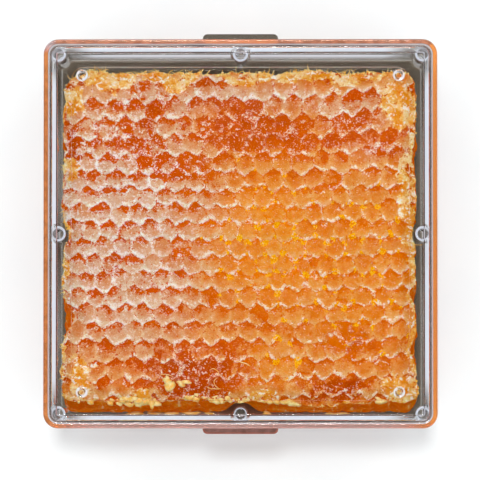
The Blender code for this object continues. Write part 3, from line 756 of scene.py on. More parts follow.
def make_scraps(edge, normal, face, wet):
    """Hairs and crumbs of wax that the knife left along the edges, and a few bits in the gap."""
    rng = np.random.default_rng(SEED + 5)
    points, faces = [], []
    top = np.flatnonzero((normal[:, 1] > 0.8) & (edge[:, 0] < 47))
    left = np.flatnonzero(normal[:, 0] < -0.8)
    right = np.flatnonzero(normal[:, 0] > 0.8)
    bottom = np.flatnonzero(normal[:, 1] < -0.8)
    for group, count, longest in ((top, 130, 2.0), (left, 40, 1.2), (right, 24, 1.0), (bottom, 22, 1.0)):
        for _ in range(count):
            i = int(rng.choice(group))
            out = np.array([*normal[i], 0.0])
            side = np.array([-normal[i][1], normal[i][0], 0.0])
            length = longest * rng.uniform(0.25, 1.0) ** 1.6 + 0.3
            lean, curl, lift = rng.uniform(-1.3, 1.3), rng.uniform(-1.6, 1.6), rng.uniform(-0.5, 0.7)
            begin = edge[i] - out * 0.35 + np.array([0, 0, 0.05])
            path = []
            for t in np.linspace(0, 1, 8):
                turn = lean + curl * t
                path.append(
                    (begin if not path else path[-1])
                    + (0 if not path else length / 7) * (out * math.cos(turn) + side * math.sin(turn) + np.array([0, 0, lift * (0.6 - t)]))
                )
            thick = rng.uniform(0.08, 0.16)
            tube(points, faces, path, thick * np.array([1.2, 1.15, 1.0, 0.95, 0.85, 0.75, 0.6, 0.3]))

    def crumb(centre, radius, flat=1.0, wide=1.0):
        start = len(points)
        bm = bmesh.new()
        bmesh.ops.create_icosphere(bm, subdivisions=2, radius=1.0)
        stretch = rng.uniform(0.6, 1.3, 3) * radius * np.array([wide, 1.0, flat])
        phase = rng.uniform(0, 6.28, 6)
        for v in bm.verts:
            x, y, z = v.co
            wobble = 1 + 0.22 * math.sin(3.1 * x + phase[0] + 2 * y) + 0.18 * math.sin(4.3 * y + phase[1] - 2.2 * z) + 0.12 * math.sin(7 * z + phase[2])
            points.append(np.array(centre) + stretch * wobble * np.array([x, y, z]))
        for f in bm.faces:
            faces.append(tuple(start + v.index for v in f.verts))
        bm.free()

    for group, count in ((top, 110), (left, 44), (right, 26), (bottom, 12)):
        for _ in range(count):
            i = int(rng.choice(group))
            out = np.array([*normal[i], 0.0])
            crumb(edge[i] + out * rng.uniform(-0.5, 0.25) + np.array([0, 0, rng.uniform(-0.3, 0.15)]), rng.uniform(0.14, 0.42))
    fringe = np.flatnonzero((normal[:, 1] < -0.7) & (noise2(edge[:, 0] / 5.0, 0 * edge[:, 0], 79) > -0.1))
    for _ in range(70):
        i = int(rng.choice(fringe))
        out = np.array([*normal[i], 0.0])
        crumb(edge[i] + out * rng.uniform(-1.1, 0.35) + np.array([0, 0, rng.uniform(-0.45, -0.1)]), rng.uniform(0.45, 1.0), 0.4, 1.5)
    for x in (-29.8, -24.3, -19.5, -13.8, -8.8, 7.3, 25.0, 28.0):
        crumb((x, -50.2, rng.uniform(15.0, 17.5)), rng.uniform(0.45, 0.55), 1.0, 3.4)
    # Lumps of wax that the knife dragged over the caps.
    lumps = [(-20.3, -41.2), (-19.7, -42.4), (-20.7, -40.4), (-16.4, -41.6), (-15.2, -41.3)]
    lumps += [(-33.0 + 1.15 * k + rng.uniform(-0.3, 0.3), -46.4 + 0.8 * math.sin(0.7 * k) + rng.uniform(-0.4, 0.2)) for k in range(8)]
    for x, y in lumps:
        near = face[np.argmin((face[:, 0] - x) ** 2 + (face[:, 1] - y) ** 2), 2]
        crumb((x, y, near + 0.05), rng.uniform(0.8, 1.1), 0.45, 1.4)
    # Strings of wax lie across the torn caps.
    starts = np.flatnonzero((wet > 0.5) & (face[:, 1] < -28) & (face[:, 0] < 6))
    for _ in range(5):
        at = face[int(rng.choice(starts)), :2].copy()
        turn, curl = rng.uniform(0, 6.28), rng.uniform(-1.5, 1.5)
        path = []
        for t in np.linspace(0, 1, 10):
            near = face[np.argmin(((face[:, :2] - at) ** 2).sum(1)), 2]
            path.append(np.array([at[0], at[1], near + 0.10 + 0.25 * math.sin(math.pi * t)]))
            at = at + rng.uniform(0.35, 0.6) * np.array([math.cos(turn), math.sin(turn)])
            turn += curl / 5 + rng.uniform(-0.35, 0.35)
        tube(points, faces, path, rng.uniform(0.11, 0.16) * np.array([0.5, 0.9, 1.0, 1.1, 1.0, 0.9, 1.05, 1.0, 0.8, 0.4]))
    # One hair reaches across the gap on the right.
    tube(points, faces, [(48.2 + 0.38 * k, -2.9 + 0.03 * math.sin(k), 25.0 + 0.2 * math.sin(0.8 * k)) for k in range(8)], [0.12] * 8)
    scraps = mesh_object("comb_scraps", np.array(points), faces)
    n = Nodes("comb_scrap_wax")
    tone = n.mix(n.remap(n.noise(700, 3.0, 0.6), 0.3, 0.7), srgb(246, 186, 84), srgb(250, 222, 154))
    shader = n.add(
        "ShaderNodeBsdfPrincipled",
        {"Base Color": tone, "Roughness": 0.4, "Subsurface Weight": 0.3, "Subsurface Radius": (1.0, 0.4, 0.15), "Subsurface Scale": 0.0004, "Specular IOR Level": 0.2},
    )
    n.plug(n.output.inputs["Surface"], shader.outputs[0])
    scraps.data.materials.append(n.material)
    return scraps


def make_comb(material, side_material):
    grid = patch(1.0, FRONT_X, FRONT_Y)
    x, y = grid[..., 0], grid[..., 1]
    zone = zones(x, y)
    z, looks = face_height(x, y, zone, SEED)
    points = np.concatenate([grid, z[..., None]], -1)
    pieces = []
    half = FRONT_Y // 2
    for name, rows in (("comb_face_a", slice(0, half + 1)), ("comb_face_b", slice(half, FRONT_Y))):
        part = points[rows]
        front = mesh_object(name, part.reshape(-1, 3), grid_faces(part.shape[0], FRONT_X))
        add_looks(front, {k: v[rows] for k, v in looks.items()}, {k: v[rows] for k, v in zone.items()})
        front.data.materials.append(material)
        pieces.append(front)

    # The sides hang from the edge of the face.
    edge = loop_of(points)
    foot = loop_of(np.concatenate([patch(0.0, FRONT_X, FRONT_Y), np.full((FRONT_Y, FRONT_X, 1), FOOT + 0.9)], -1))
    steps = 32
    tangent = np.roll(edge[:, :2], -1, 0) - np.roll(edge[:, :2], 1, 0)
    normal = np.stack([tangent[:, 1], -tangent[:, 0]], 1)
    for _ in range(6):
        normal = normal + np.roll(normal, 1, 0) + np.roll(normal, -1, 0)
    normal /= np.linalg.norm(normal, axis=1)[:, None]
    across, down = lattice(edge[:, 0], edge[:, 1])
    flat_side = np.abs(normal[:, 0]) > np.abs(normal[:, 1])
    run = np.concatenate([[0], np.cumsum(np.linalg.norm(np.diff(edge[:, :2], axis=0), axis=1))])
    rows = []
    shades = {k: [] for k in LOOKS + ZONES}
    for k in range(steps + 1):
        f = k / steps
        base = edge * (1 - f) + foot * f
        # The face's bays and notches fade out quickly below it.
        share = 1 - (1 - f) ** 2.0 if k else 0.0
        base[:, :2] = edge[:, :2] * (1 - share) + foot[:, :2] * share
        z_here = base[:, 2]
        phase = np.where(flat_side, down, across) + (0.5 if f > 0.5 else 0.0)
        phase = phase + 0.10 * noise2(run / 4.0, z_here / 6.0, 71)
        local = phase - np.floor(phase + 0.5)
        bulge = 0.42 * (np.sqrt(np.maximum(1 - (2 * local) ** 2, 0)) - 0.75)
        rib = np.exp(-(((z_here - 15.8 - 0.5 * noise2(run / 5.0, 0 * run, 72)) / 0.7) ** 2))
        out = bulge * (1 - rib) + 0.25 * rib
        out = out + 0.30 * noise2(run / 3.0, z_here / 3.0, 73) + 0.14 * noise2(run / 0.9, z_here / 1.4, 74)
        out = out * smooth(0.0, 0.08, np.full_like(run, f)) * (1 - 0.5 * smooth(0.9, 1.0, np.full_like(run, f)))
        out = np.minimum(out, 0.25)
        here = base.copy()
        here[:, :2] += normal * (out - 0.25 * smooth(0.0, 0.1, np.full_like(run, f)))[:, None]
        limit_x, limit_y = CASE_X / 2 - WALL_CLEAR - 0.3 * f, CASE_Y / 2 - WALL_CLEAR - 0.3 * f
        here[:, 0] = np.clip(here[:, 0], -limit_x, limit_x)
        here[:, 1] = np.clip(here[:, 1], -limit_y, limit_y)
        rows.append(here)
        patchy = fbm(run / 3.5, z_here / 4.5, 75, 3, 0.6)
        ridge = np.exp(-((np.abs(np.abs(local) - 0.5) / 0.07) ** 2))
        upper = 1 - smooth(0.0, 0.12, np.full_like(run, f))
        torn_wall = smooth(-0.35, 0.35, noise2(run / 2.2, z_here / 5.0, 78))
        wax = np.clip(0.40 * smooth(0.05, 0.55, patchy) + 0.75 * ridge * torn_wall + 0.6 * rib * (0.4 + 0.6 * torn_wall) + 0.45 * upper, 0, 1)
        shades["film_and_shade"].append(wax * 0.7)
        shades["seam"].append(np.clip(0.1 + 0.35 * upper + 0.55 * ridge * torn_wall, 0, 1))
        shades["cover"].append(0.16 + 0.6 * wax)
        shades["gold"].append(0 * run)
        shades["scribble"].append(0.25 * smooth(0.3, 0.6, noise2(run / 1.2, z_here / 1.2, 77)))
        shades["soak"].append(np.full_like(run, 0.15))
        shades["tint"].append(0.5 + 0.3 * noise2(run / 5.0, z_here / 8.0, 76))
        shades["dry"].append(np.full_like(run, 0.15))
        # Painted light: the sides take the golden colours of honey lit from within.
        shades["glow"].append(np.clip(0.62 + 0.5 * patchy, 0, 1))
        shades["dark"].append(np.clip(0.25 * patchy, 0, 1))
        shades["cream"].append(np.clip(0.5 * upper + 0.25 * rib, 0, 1))
    rows = np.array(rows)
    sides = mesh_object("comb_sides", rows.reshape(-1, 3), grid_faces(steps + 1, rows.shape[1], flip=True, wrap=True))
    for key, values in shades.items():
        set_attribute(sides, key, np.array(values))
    sides.data.materials.append(side_material)

    scraps = make_scraps(edge, normal, points.reshape(-1, 3), zone["wet"].ravel())

    # The under face, pressed on the tray's floor.
    count_x, count_y = 200, 186
    low = patch(0.0, count_x, count_y)
    x, y = low[..., 0], low[..., 1]
    flat = np.zeros_like(x)
    e = edge_distance(x, y, 0.0)
    under = {
        "dry": 0.25 + 0.25 * noise2(x / 14, y / 14, 81),
        "wet": np.clip(0.35 + 0.4 * noise2(x / 16, y / 16, 82), 0, 1),
        "glow": np.clip(0.35 + 0.3 * noise2(x / 20, y / 20, 83), 0, 1),
        "dark": np.clip(0.15 + 0.3 * noise2(x / 15, y / 15, 84), 0, 1),
        "cream": 0.6 * (1 - smooth(0.8, 2.6, e + noise2(x / 2.5, y / 2.5, 85))),
        "edge": e,
    }
    relief, looks = capped_relief(x + PITCH / 2, y, SEED + 300, under, 0.55)
    z = FOOT + 0.45 - np.clip(relief, -1.0, 0.35)
    z = z + 0.9 * np.exp(-((np.maximum(e, 0) / 1.2) ** 2)) + flat
    z = np.maximum(z, FOOT)
    points = np.stack([x, y, z], -1)
    back = mesh_object("comb_under", points.reshape(-1, 3), grid_faces(count_y, count_x, flip=True))
    add_looks(back, looks, under)
    back.data.materials.append(material)

    for piece in (*pieces, sides, back, scraps):
        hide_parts("comb")
        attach(piece, "root")
    return pieces


# ---------------------------------------------------------------------------
# The case
# ---------------------------------------------------------------------------
CORNER = 4.2
LID_STEPS = ((1.3, 0.0), (0.2, -0.7), (0.7, 0.0), (0.2, 0.5), (1.1, 0.0), (0.3, -0.5))
SKIRT_WALL, LID_UNDERSIDE = 1.3, 33.0
PANEL_INSET, PANEL_TOP, PANEL_CORNER = 7.8, 34.43, 3.6
RING_REACH, RING_OUTER, RING_INNER = 44.1, 1.65, 0.75
TAB_HALF, TAB_BOTTOM, TAB_TOP, TAB_ROUND = 10.5, 31.3, 32.8, 1.3
WALL_INSET, WALL, TRAY_DRAFT = 1.65, 1.3, 0.4
FLOOR, FLOOR_FILLET, FOOT_ROUND = 1.4, 0.5, 0.6
POST_TOP, POST_FOOT, POST_FILLET = 2.15, 1.7, 0.9
BORE_TOP, BORE_FOOT, BORE_DEPTH = 1.5, 1.3, 14.0


class Shell:
    """Collects the faces of one closed piece, with fields per point."""

    def __init__(self):
        self.points, self.faces, self.fields = [], [], []

    def add(self, points, fields):
        start = len(self.points)
        self.points.extend([tuple(map(float, p)) for p in points])
        self.fields.extend(fields(*p) for p in points) if callable(fields) else self.fields.extend([fields] * len(points))
        return list(range(start, start + len(points)))

    def loft(self, low, high, skip=()):
        n = len(low)
        for k in range(n):
            if k not in skip:
                m = (k + 1) % n
                self.faces.append((low[k], low[m], high[m], high[k]))

    def flat(self, loops, upwards):
        """Fills the plane inside the first loop and outside the others. All are lists of indices."""
        index = [i for loop in loops for i in loop]
        edges, start = [], 0
        for loop in loops:
            n = len(loop)
            edges += [(start + k, start + (k + 1) % n) for k in range(n)]
            start += n
        flat = [Vector(self.points[i][:2]) for i in index]
        verts, _, faces, origin, _, _ = geometry.delaunay_2d_cdt(flat, edges, [], 0, 1e-7, True)
        back = [index[ids[0]] for ids in origin]
        outlines = [np.array([self.points[i][:2] for i in loop]) for loop in loops]

        def inside(x, y, outline):
            a, b = outline, np.roll(outline, -1, 0)
            cross = (a[:, 1] > y) != (b[:, 1] > y)
            with np.errstate(divide="ignore", invalid="ignore"):
                at = (b[:, 0] - a[:, 0]) * (y - a[:, 1]) / (b[:, 1] - a[:, 1]) + a[:, 0]
            return bool(np.count_nonzero(cross & (x < at)) % 2)

        for face in faces:
            middle = sum((verts[v] for v in face), Vector((0, 0))) / len(face)
            if not inside(middle.x, middle.y, outlines[0]) or any(
                inside(middle.x, middle.y, o) for o in outlines[1:]
            ):
                continue
            corners = [back[v] for v in face]
            a, b, c = (verts[v] for v in face[:3])
            anticlockwise = (b - a).cross(c - a) > 0
            self.faces.append(tuple(corners if anticlockwise == upwards else corners[::-1]))

    def build(self, name, field_names, angle=38.0):
        mesh = bpy.data.meshes.new(name)
        mesh.from_pydata([(x * MM, y * MM, z * MM) for x, y, z in self.points], [], self.faces)
        for k, key in enumerate(field_names):
            layer = mesh.attributes.new(key, "FLOAT", "POINT")
            layer.data.foreach_set("value", [f[k] for f in self.fields])
        bm = bmesh.new()
        bm.from_mesh(mesh)
        bmesh.ops.remove_doubles(bm, verts=bm.verts, dist=1e-7)
        bmesh.ops.recalc_face_normals(bm, faces=bm.faces)
        bm.to_mesh(mesh)
        bm.free()
        mesh.shade_smooth()
        mesh.set_sharp_from_angle(angle=math.radians(angle))
        obj = bpy.data.objects.new(name, mesh)
        bpy.context.scene.collection.objects.link(obj)
        return obj


def filleted(corners, steps=4, support=0.04):
    """Rounds a profile of (inwards, z, radius) corners, with a point close before and after each."""
    out = [corners[0][:2]]
    for before, here, after in zip(corners, corners[1:], corners[2:]):
        p, q, r = (np.array(c[:2], float) for c in (before, here, after))
        radius = here[2]
        if not radius:
            out.append(tuple(q))
            continue
        u, v = (p - q) / np.linalg.norm(p - q), (r - q) / np.linalg.norm(r - q)
        half = math.acos(max(-1, min(1, float(u @ v)))) / 2
        run = radius / math.tan(half)
        centre = q + (u + v) / np.linalg.norm(u + v) * (radius / math.sin(half))
        a, b = q + u * run - centre, q + v * run - centre
        start, turn = math.atan2(a[1], a[0]), math.atan2(a[0] * b[1] - a[1] * b[0], a @ b)
        out.append(tuple(q + u * (run + support)))
        for k in range(steps + 1):
            angle = start + turn * k / steps
            out.append((centre[0] + radius * math.cos(angle), centre[1] + radius * math.sin(angle)))
        out.append(tuple(q + v * (run + support)))
    out.append(corners[-1][:2])
    return out


def arc(centre, radius, start, end, steps):
    angles = np.radians(np.linspace(start, end, steps + 1))
    return [(centre[0] + radius * math.cos(t), centre[1] + radius * math.sin(t)) for t in angles]


STATIONS = (40.0, 30.0, 20.0, TAB_HALF, 9.3, 2.9, 2.3, 0.0, -2.3, -2.9, -9.3, -TAB_HALF, -20.0, -30.0, -40.0)


def rounded_path(inset, corner, size_x, size_y, steps=10):
    """A rounded rectangle, anticlockwise, with points where the tabs and the posts are."""
    x, y = size_x / 2 - inset - corner, size_y / 2 - inset - corner
    points = []
    for k, (sx, sy) in enumerate(((1, 1), (-1, 1), (-1, -1), (1, -1))):
        points += arc((sx * x, sy * y), corner, 90 * k, 90 * k + 90, steps)
        if k in (0, 2):
            points += [(sx * t, sy * (y + corner)) for t in STATIONS]
        else:
            points += [(sx * (x + corner), sy * t) for t in STATIONS]
    return points


def rim_fields(inwards, z):
    """Painted dark, painted highlight and painted reflection of the honey on the lid's border, round its four sides."""
    on_top = z > 34.0
    rim = on_top and inwards < 1.27
    step = on_top and 1.27 <= inwards < 1.52
    groove = on_top and 1.52 <= inwards < 2.2
    outer_step = on_top and 2.2 <= inwards < 2.42
    ridge = on_top and 2.42 <= inwards < 3.5
    inner_step = 3.5 <= inwards < 3.85 and z > 34.0

    def fields(x, y, _):
        across, up = x / (CASE_X / 2), y / (CASE_Y / 2)
        side = "x" if abs(across) > abs(up) else "y"
        if side == "x":
            painted_honey_reflection, painted_dark = (0.99, 0.74) if x < 0 else (0.995, 0.06)
        else:
            painted_honey_reflection, painted_dark = (0.95, 0.93) if y > 0 else (0.70 + 0.28 * float(smooth(0.80, 0.93, np.float64(abs(across)))), 0.45)
            if y > 0 and abs(x) < 9.4:
                painted_honey_reflection, painted_dark = 0.97, 0.5
        corner = smooth(0.93, 0.99, np.float64(min(abs(across), abs(up))))
        painted_honey_reflection = painted_honey_reflection * (1 - (0.3 if y > 0 and x < 0 else 0.0) * corner)
        wave = 0.5 + 0.5 * math.sin(0.9 * x + 1.7 * y + 1.3 * math.sin(0.37 * x - 0.5 * y))
        post = near_post(x, y, 2.4)
        if rim:
            return (painted_dark, 0.3 * float(corner) if y > 0 and x < 0 else 0.0, painted_honey_reflection)
        if step:
            return (0.0, 0.75, 0.0)
        if groove:
            return (0.9, 0.0, 0.3 * painted_honey_reflection)
        if outer_step:
            return (0.2, 0.0, 0.8 if side == "x" and x > 0 else 0.0)
        if ridge:
            return (0.0, 0.0 if post else 0.8 + 0.2 * wave, 0.0)
        if inner_step:
            return (0.35, 0.0, 0.7 if side == "x" and x < 0 else 0.1)
        return (0.0, 0.0, 0.0)

    return fields


def make_lid(material):
    shell = Shell()
    names = ("painted_dark", "painted_highlight", "painted_honey_reflection")

    def ring(inwards, z, fields=(0, 0, 0)):
        path = rounded_path(inwards, max(CORNER - inwards, 0.25), CASE_X, CASE_Y)
        return shell.add([(x, y, z) for x, y in path], fields)

    # From the underside's middle, round the skirt and over the top to the sunk plate.
    corners = [(6.0, LID_UNDERSIDE, 0), (1.42, LID_UNDERSIDE, 0.3), (SKIRT_WALL, SKIRT_BOTTOM, 0.15)]
    corners += [(0.0, SKIRT_BOTTOM, 0.2), (0.0, TAB_BOTTOM, 0), (0.0, TAB_TOP, 0), (0.0, CASE_Z, 0.45)]
    inwards, z = 0.0, CASE_Z
    for k, (step, along) in enumerate(LID_STEPS):
        inwards, z = inwards + step, z + along
        corners.append((inwards, z, 0.2 if k == 0 else 0.12))
    corners.append((inwards + 0.22, z, 0))
    profile = filleted(corners)
    rings = [(inwards, z, ring(inwards, z, rim_fields(inwards, z))) for inwards, z in profile]
    for (_, low_z, low), (_, high_z, high) in zip(rings, rings[1:]):
        hole = abs(low_z - TAB_BOTTOM) < 1e-6 and abs(high_z - TAB_TOP) < 1e-6
        spans = [k for k in range(len(low)) if is_tab_span(shell, low, k)] if hole else ()
        shell.loft(low, high, spans)
    shell.flat([rings[0][2]], upwards=False)

    # The raised field and its four rings.
    outer = rings[-1][2]
    def field(inset, z, radius, fields=(0, 0, 0)):
        path = rounded_path(inset, radius, CASE_X, CASE_Y)
        return shell.add([(x, y, z) for x, y in path], fields)
    level = rings[-1][1]
    last = outer
    # A pale band of light lies along the plate behind the far ridge.
    inner_corner = max(CORNER - inwards - 0.22, 0.25)
    for inset, painted_highlight in ((4.25, 0.0), (4.45, 0.8), (4.8, 0.6), (5.3, 0.35), (5.8, 0.0)):
        radius = inner_corner + (PANEL_CORNER + 0.3 - inner_corner) * (inset - 4.02) / (PANEL_INSET - 0.3 - 4.02)
        here = field(inset, level, radius, lambda x, y, _: (0.0, painted_highlight if y > CASE_Y / 2 - 6 and abs(x) < CASE_X / 2 - 7 and not near_post(x, y, 2.9) else 0.0, 0.0))
        shell.loft(last, here)
        last = here
    ramp = ((-0.30, 0.0), (-0.05, 0.0), (0.05, 1.0), (0.30, 1.0))
    # A faint painted highlight runs along the step on the far side.
    for inset, z in ((PANEL_INSET + step, level + (PANEL_TOP - level) * share) for step, share in ramp):
        here = field(inset, z, PANEL_CORNER - (inset - PANEL_INSET), lambda x, y, _: (0.0, 0.3 if abs(inset - PANEL_INSET) < 0.1 and y > CASE_Y / 2 - 8.5 else 0.0, 0.0))
        shell.loft(last, here)
        last = here
    holes = []
    crest = (RING_OUTER - RING_INNER) / 2
    for x in (-RING_REACH, RING_REACH):
        for y in (-RING_REACH, RING_REACH):
            before, first = None, None
            for t in (-8, *np.linspace(0, 180, 13), 188):
                radius = RING_INNER + crest + crest * math.cos(math.radians(t)) + (0.05 if t < 0 else -0.05 if t > 180 else 0)
                height = PANEL_TOP + (CASE_Z - PANEL_TOP) * max(math.sin(math.radians(t)), 0.0)
                loop = shell.add([(px, py, height) for px, py in arc((x, y), radius, 0, 360 * 31 / 32, 31)], (0, 0, 0))
                # Painted glints round each ring: painted highlight on the outer half; dark patches and highlight
                # painted on the inner half.
                if 0 < t < 180:
                    for at in range(32):
                        turn = 2 * math.pi * at / 32
                        glint = math.sin(turn * 2 + 0.7 + 0.02 * t) + 0.4 * math.sin(turn * 5 + 2.0)
                        if t < 100:
                            shell.fields[loop[at]] = (0.0, max(0.0, min(0.95, 0.70 + 0.4 * glint)), 0.0)
                        else:
                            shell.fields[loop[at]] = (1.0 if glint < 0.35 else 0.3, 0.0 if glint < 0.35 else 0.7, 0.0)
                if before is None:
                    first = loop
                else:
                    shell.loft(before, loop)
                before = loop
            shell.flat([before], upwards=True)
            holes.append(first)
    shell.flat([last] + holes, upwards=True)

    # The tabs, painted dark; the lower one also has a painted reflection of the honey, stronger at its edge.
    for side in (-1, 1):
        y0, y1 = CASE_Y / 2, CASE_Y / 2 + TAB_REACH
        outline = [(-TAB_HALF, y0)] + arc((-TAB_HALF + TAB_ROUND, y1 - TAB_ROUND), TAB_ROUND, 180, 90, 6)
        outline += arc((TAB_HALF - TAB_ROUND, y1 - TAB_ROUND), TAB_ROUND, 90, 0, 6) + [(TAB_HALF, y0)]
        looks = (1.0, 0, 0) if side > 0 else (0.86, 0, 0.52)
        edging = (1.0, 0, 0) if side > 0 else (0.40, 0, 0.85)
        low = shell.add([(x, side * y, TAB_BOTTOM) for x, y in outline], looks)
        high = shell.add([(x, side * y, TAB_TOP) for x, y in outline], edging)
        for k in range(len(low) - 1):
            shell.faces.append((low[k], low[k + 1], high[k + 1], high[k]))
        outer = high
        for inset, looks_here in ((0.38, edging), (0.52, looks)):
            loop = [(x * (1 - inset / TAB_HALF), side * (y0 + (y - y0) * (1 - inset / TAB_REACH)), TAB_TOP) for x, y in outline]
            loop = shell.add(loop, looks_here)
            for k in range(len(outer) - 1):
                shell.faces.append((outer[k], outer[k + 1], loop[k + 1], loop[k]))
            outer = loop
        shell.faces.append(tuple(low))
        shell.faces.append(tuple(outer))
    lid = shell.build("fine_lid", names)
    lid.data.materials.append(material)
    return lid


def is_tab_span(shell, loop, k):
    a, b = shell.points[loop[k]], shell.points[loop[(k + 1) % len(loop)]]
    return abs(abs(a[0]) - TAB_HALF) < 1e-6 and abs(abs(b[0]) - TAB_HALF) < 1e-6 and abs(a[1] - b[1]) < 1e-6


def tray_inside(wall, post, fillet):
    """The tray's inside line with its eight posts, anticlockwise."""
    over = POST_INSET - wall
    run = math.sqrt((post + fillet) ** 2 - (over - fillet) ** 2)
    lean = math.degrees(math.atan2(over - fillet, run))
    half = (CASE_X / 2 - wall, CASE_Y / 2 - wall)
    middle = (CASE_X / 2 - POST_INSET, CASE_Y / 2 - POST_INSET)
    points = []
    for k in range(4):
        turn = math.radians(90 * k)
        out, along = (math.cos(turn), math.sin(turn)), (-math.sin(turn), math.cos(turn))
        h, corner = half[k % 2], middle[(k + 1) % 2]

        def piece(t, n, radius, start, end, steps):
            cx, cy = t * along[0] + (h - n) * out[0], t * along[1] + (h - n) * out[1]
            shift = 90 + 90 * k
            return arc((cx, cy), radius, start + shift, end + shift, steps)

        points += piece(-corner + run, fillet, fillet, 180 - lean, 270, 6)
        points += piece(-run, fillet, fillet, -90, lean, 6)
        points += piece(0, over, post, 180 + lean, -lean, 24)[1:-1]
        points += piece(run, fillet, fillet, 180 - lean, 270, 6)
        points += piece(corner - run, fillet, fillet, -90, lean, 6)
        points += piece(corner, over, post, 180 + lean, 90 - lean, 14)[1:-1]
    return points


def near_post(x, y, reach=POST_TOP + 0.12):
    ax, ay = CASE_X / 2 - POST_INSET, CASE_Y / 2 - POST_INSET
    return any(
        math.hypot(x - i * ax, y - j * ay) < reach for i in (-1, 0, 1) for j in (-1, 0, 1) if (i, j) != (0, 0)
    )


def make_tray(material):
    shell = Shell()
    names = ("painted_dark", "painted_highlight", "painted_honey_reflection")
    height = TRAY_TOP

    def outside(inset, z, fields=(0, 0, 0)):
        path = rounded_path(WALL_INSET + inset, max(CORNER - WALL_INSET - inset, 0.3), CASE_X, CASE_Y)
        return shell.add([(x, y, z) for x, y in path], fields)

    corners = [(1.6, 0.0, 0), (TRAY_DRAFT, 0.0, FOOT_ROUND), (0.0, height, 0.22), (0.3, height, 0)]
    # The tray's underside is painted dark.
    rings = [outside(i, z, (1.0 if i > 1.5 else 0.0, 0, 0)) for i, z in filleted(corners, 5)]
    shell.flat([rings[0]], upwards=False)
    for low, high in zip(rings, rings[1:]):
        shell.loft(low, high)

    def inner(share, offset, z, fields=(0, 0, 0)):
        """share runs from 0 at the floor to 1 at the rim; offset widens the opening."""
        wall = WALL_INSET + WALL + TRAY_DRAFT * (1 - share) - offset
        post = POST_FOOT + (POST_TOP - POST_FOOT) * share - offset

        def looks(x, y, z):
            # Painted highlight on the posts' tops, and a painted band of light on the far wall.
            painted_highlight = 1.0 if z > height - 0.6 and near_post(x, y) else 0.0
            if y > CASE_Y / 2 - 3.6 and abs(x) < CASE_X / 2 - 7:
                painted_highlight = max(painted_highlight, float((0.5 + 0.5 * smooth(11.0, 14.0, z)) * smooth(6.0, 8.0, z) * (1 - smooth(17.0, 18.0, z))))
            # Painted reflection of the honey on the near wall's middle.
            if y < -CASE_Y / 2 + 8.0 and abs(x) < 4.5:
                return (0.0, 0.0, 0.9)
            return (fields[0], painted_highlight, 0.0)

        return shell.add([(x, y, z) for x, y in tray_inside(wall, post, POST_FILLET + offset)], looks)

    # The floor and its fillet are painted dark, standing in for the shade in the gap round the comb.
    levels = [(1.0, 0.23, height, 0)]
    for angle in (90, 70, 45, 22, 0):
        r = 0.18
        levels.append((1.0, r * (1 - math.cos(math.radians(angle))), height - r + r * math.sin(math.radians(angle)), 0))
    levels += [(0.985, 0.0, height - 0.5, 0), (0.96, 0.0, height - 1.1, 0)]
    levels += [(z / height, 0.0, z, 0) for z in (22.0, 18.0, 17.0, 14.0, 11.0, 8.0, 6.0, 3.0)] + [(0.02, 0.0, FLOOR + FLOOR_FILLET + 0.1, 0.3)]
    for angle in (0, 22, 45, 68, 90):
        r = FLOOR_FILLET
        levels.append((0.0, -r * (1 - math.cos(math.radians(angle))), FLOOR + r - r * math.sin(math.radians(angle)), 1.0))
    levels.append((0.0, -FLOOR_FILLET - 0.08, FLOOR, 1.0))
    rim = None
    before = None
    for share, offset, z, painted_dark in levels:
        here = inner(share, offset, z, (painted_dark, 0, 0))
        if before is None:
            rim = here
        else:
            shell.loft(before, here)
        before = here
    shell.flat([before], upwards=True)

    holes = []
    for i in (-1, 0, 1):
        for j in (-1, 0, 1):
            if (i, j) == (0, 0):
                continue
            centre = (i * (CASE_X / 2 - POST_INSET), j * (CASE_Y / 2 - POST_INSET))
            before = None
            for radius, z in ((BORE_TOP + 0.17, height), (BORE_TOP + 0.12, height), (BORE_TOP + 0.04, height - 0.04), (BORE_TOP, height - 0.12),
                              (BORE_TOP - 0.01, height - 0.5), (BORE_FOOT, height - BORE_DEPTH + 0.5),
                              (BORE_FOOT - 0.15, height - BORE_DEPTH + 0.12), (BORE_FOOT - 0.5, height - BORE_DEPTH)):
                # Painted highlight round the bores' mouths.
                painted_highlight = 1.0 if z > height - 0.6 else 0.0
                loop = shell.add([(x, y, z) for x, y in arc(centre, radius, 0, 360 * 27 / 28, 27)], (0, painted_highlight, 0))
                if before is None:
                    holes.append(loop)
                else:
                    shell.loft(before, loop)
                before = loop
            shell.flat([before], upwards=True)
    shell.flat([rings[-1], rim] + holes, upwards=True)
    tray = shell.build("fine_tray", names)
    tray.data.materials.append(material)
    return tray


